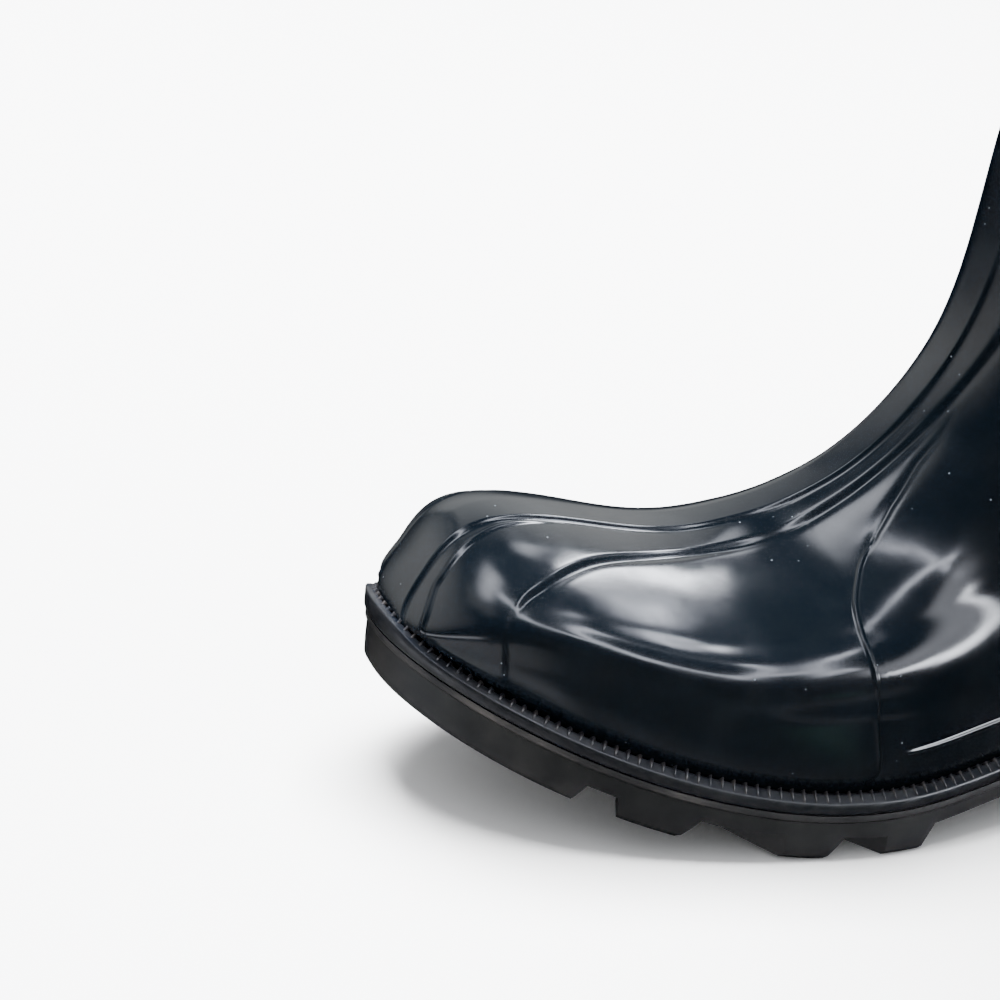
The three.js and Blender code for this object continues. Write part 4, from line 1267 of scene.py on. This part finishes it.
# Lights that the lacquer mirrors: name, directions from the boot as azimuth from the toe towards the outer side
# and elevation in degrees, half width in degrees, strength and colour
RIBBONS = [
    ("strip_left", [(-140, 50), (-144, 51), (-148, 53), (-154, 58), (-165, 66)], 3, 26, "eef3ff"),
    ("strip_above", [(-165, 66), (170, 78), (110, 76), (97, 60), (100, 30), (110, 17), (125, 13)],
     3, 22, "eef3ff"),
    ("strip_back", [(121, 19), (103, 44), (80, 59), (40, 67), (5, 68), (-28, 60), (-49, 51)],
     3, 18, "eef3ff"),
    ("window_left", [(-126, 38), (-128, 43), (-128, 50)], 3.6, 50, "f2f6ff"),
    ("window_right", [(165, 4), (155, 8), (142, 10), (130, 11)], 7, 34, "f2f6ff"),
    ("window_low", [(-22, -20), (14, -24)], 7, 4, "f2f6ff"),
    ("window_toe", [(-114, 30), (-108, 48)], 7, 6, "f2f6ff"),
    ("window_front", [(-50, 57), (-38, 53), (-28, 48)], 9, 9, "f2f6ff"),
    ("curtain_right", [(115, 24), (135, 26), (160, 24)], 14, 4, "f2f6ff"),
    ("wall_left", [(-125, 18), (-90, 24), (-60, 18), (-30, 12)], 19, 1.3, "f4f4f2"),
    ("wall_front", [(-60, 14), (-20, 12)], 20, 1.1, "f4f4f2"),
    ("sky_front", [(-34, 32), (-8, 44)], 8, 1, "f4f4f2"),
    ("floor_front", [(-60, -42), (-20, -48), (20, -46), (45, -46)], 12, 0.9, "f4f6fa"),
    ("floor_side", [(60, -46), (100, -46), (150, -30)], 6, 0.3, "f4f6fa"),
    ("green_leaves", [(108, -28), (118, -31)], 2.8, 1.0, "79b8a2"),
    ("wall_back", [(-175, 15), (-150, 15)], 14, 0.8, "f4f4f2"),
]
RIBBON_DISTANCE = 3.0
# Lamps for the shadow: name, place and size in metres, watts
LAMPS = [("softbox", (-0.7, 0.1, 2.5), 2.0, 740.0)]
SKY_STRENGTH = 1.1
FLOOR_HALF = 6
FLOOR_BELOW = 0.0002


def direction_of(azimuth, elevation):
    """Unit vector from the boot, azimuth from the toe towards the outer side."""
    a, e = math.radians(azimuth), math.radians(elevation)
    return np.array([math.sin(a) * math.cos(e), -math.cos(a) * math.cos(e), math.sin(e)])


def ribbon_object(name, line, half_width, strength, tint):
    """Glowing ribbon far round the boot, seen in reflections alone and fading from its middle to its edges."""
    knots = np.array([direction_of(*place) for place in line])
    keys = np.linspace(0, len(knots) - 1, 10 * len(knots))
    path = np.stack([natural_spline(knots[:, k])(keys) for k in range(3)], 1)
    path /= np.linalg.norm(path, axis=1, keepdims=True)
    tangent = np.gradient(path, axis=0)
    tangent /= np.linalg.norm(tangent, axis=1, keepdims=True)
    run = np.concatenate([[0], np.cumsum(np.linalg.norm(np.diff(path, axis=0), axis=1))])
    reach = math.radians(half_width)
    ends = np.linspace(-1, 0, 6)[:-1, None] * reach * tangent[0] + path[0]
    tails = np.linspace(0, 1, 6)[1:, None] * reach * tangent[-1] + path[-1]
    path = np.concatenate([ends, path, tails])
    tangent = np.concatenate([np.repeat(tangent[:1], 5, 0), tangent, np.repeat(tangent[-1:], 5, 0)])
    end_fade = np.concatenate([np.linspace(0, 1, 6)[:-1], np.ones(len(run)), np.linspace(1, 0, 6)[1:]])
    across = np.cross(path, tangent)
    offsets = np.linspace(-1, 1, 9)
    points = path[:, None] + across[:, None] * (offsets[None, :, None] * reach)
    points /= np.linalg.norm(points, axis=2, keepdims=True)
    glow = smooth(end_fade)[:, None] * (1 - offsets**2)[None] ** 1.2
    mesh = bpy.data.meshes.new(name)
    faces = grid_faces(len(path), len(offsets))
    mesh.from_pydata((points.reshape(-1, 3) * RIBBON_DISTANCE).tolist(), [], faces)
    stored = mesh.attributes.new("glow", "FLOAT", "POINT")
    stored.data.foreach_set("value", glow.ravel().astype(np.float32))
    obj = new_object(name, mesh)
    material, tree = new_material(name)
    power = product(tree, stored_value(tree, "glow"), strength)
    shader = add_node(tree, "ShaderNodeEmission", {"Color": (*linear(tint), 1), "Strength": power})
    close_material(tree, shader)
    mesh.materials.append(material)
    obj.visible_camera = False
    obj.visible_diffuse = False
    obj.visible_shadow = False
    obj.visible_transmission = False
    return obj


class BOOT_OT_stage(bpy.types.Operator):
    """Make the camera, the pale floor and the soft studio light"""

    bl_idname = "boot.make_stage"
    bl_label = "Make stage"

    def execute(self, context):
        scene = context.scene
        camera = bpy.data.objects.new("camera", bpy.data.cameras.new("camera"))
        scene.collection.objects.link(camera)
        scene.camera = camera
        look = Vector(CAMERA_LOOK).normalized()
        right = look.cross(Vector((0, 0, 1))).normalized()
        up = right.cross(look)
        rolled_right = right * math.cos(CAMERA_ROLL) + up * math.sin(CAMERA_ROLL)
        rolled_up = up * math.cos(CAMERA_ROLL) - right * math.sin(CAMERA_ROLL)
        turn = Matrix((rolled_right, rolled_up, -look)).transposed()
        camera.matrix_world = Matrix.Translation(CAMERA_PLACE) @ turn.to_4x4()
        camera.data.sensor_width = 36
        camera.data.lens = CAMERA_LENS
        camera.data.clip_start = 0.02
        mesh = bpy.data.meshes.new("floor")
        corners = [(x * FLOOR_HALF, y * FLOOR_HALF, 0) for x, y in ((-1, -1), (1, -1), (1, 1), (-1, 1))]
        mesh.from_pydata(corners, [], [(0, 1, 2, 3)])
        floor = new_object("floor", mesh)
        floor.location.z = -FLOOR_BELOW
        material, tree = new_material("matt_white_paper")
        paper = {"Base Color": (*linear("f4f5f6"), 1), "Roughness": 0.9}
        shader = add_node(tree, "ShaderNodeBsdfPrincipled", paper)
        close_material(tree, shader)
        mesh.materials.append(material)
        floor.visible_glossy = False
        world = scene.world or bpy.data.worlds.new("world")
        scene.world = world
        world.use_nodes = True
        sky = world.node_tree.nodes["Background"].inputs
        sky["Color"].default_value = (*linear("fdfdfe"), 1)
        sky["Strength"].default_value = SKY_STRENGTH
        world.cycles_visibility.glossy = False
        for ribbon in RIBBONS:
            ribbon_object(*ribbon)
        for name, place, size, energy in LAMPS:
            lamp = bpy.data.lights.new(name, "AREA")
            lamp.size = size
            lamp.energy = energy
            holder = bpy.data.objects.new(name, lamp)
            scene.collection.objects.link(holder)
            holder.location = place
            holder.rotation_mode = "QUATERNION"
            holder.rotation_quaternion = Vector(place).to_track_quat("Z", "Y")
            holder.visible_glossy = False
            holder.visible_camera = False
        return {"FINISHED"}


class BOOT_PT_panel(bpy.types.Panel):
    """Sizes, colours and steps of the boot"""

    bl_label = "Mining boot"
    bl_idname = "BOOT_PT_panel"
    bl_space_type = "VIEW_3D"
    bl_region_type = "UI"
    bl_category = "Boot"

    def draw(self, context):
        for step in STEPS:
            self.layout.operator(step.bl_idname)
        for group in (context.scene.boot_upper, context.scene.boot_sole, context.scene.boot_lining):
            for name in group.__annotations__:
                self.layout.prop(group, name)


STEPS = (BOOT_OT_stage, BOOT_OT_upper, BOOT_OT_welt, BOOT_OT_outsole, BOOT_OT_inside)
GROUPS = {"boot_upper": BootUpperSizes, "boot_sole": BootSoleSizes, "boot_lining": BootLiningSizes}


def register():
    for cls in (*GROUPS.values(), *STEPS, BOOT_PT_panel):
        bpy.utils.register_class(cls)
    for name, group in GROUPS.items():
        setattr(bpy.types.Scene, name, bpy.props.PointerProperty(type=group))


def unregister():
    for name in GROUPS:
        delattr(bpy.types.Scene, name)
    for cls in reversed((*GROUPS.values(), *STEPS, BOOT_PT_panel)):
        bpy.utils.unregister_class(cls)


def main():
    """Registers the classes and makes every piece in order."""
    register()
    for step in STEPS:
        family, name = step.bl_idname.split(".")
        getattr(getattr(bpy.ops, family), name)()


if __name__ == "__main__":
    main()
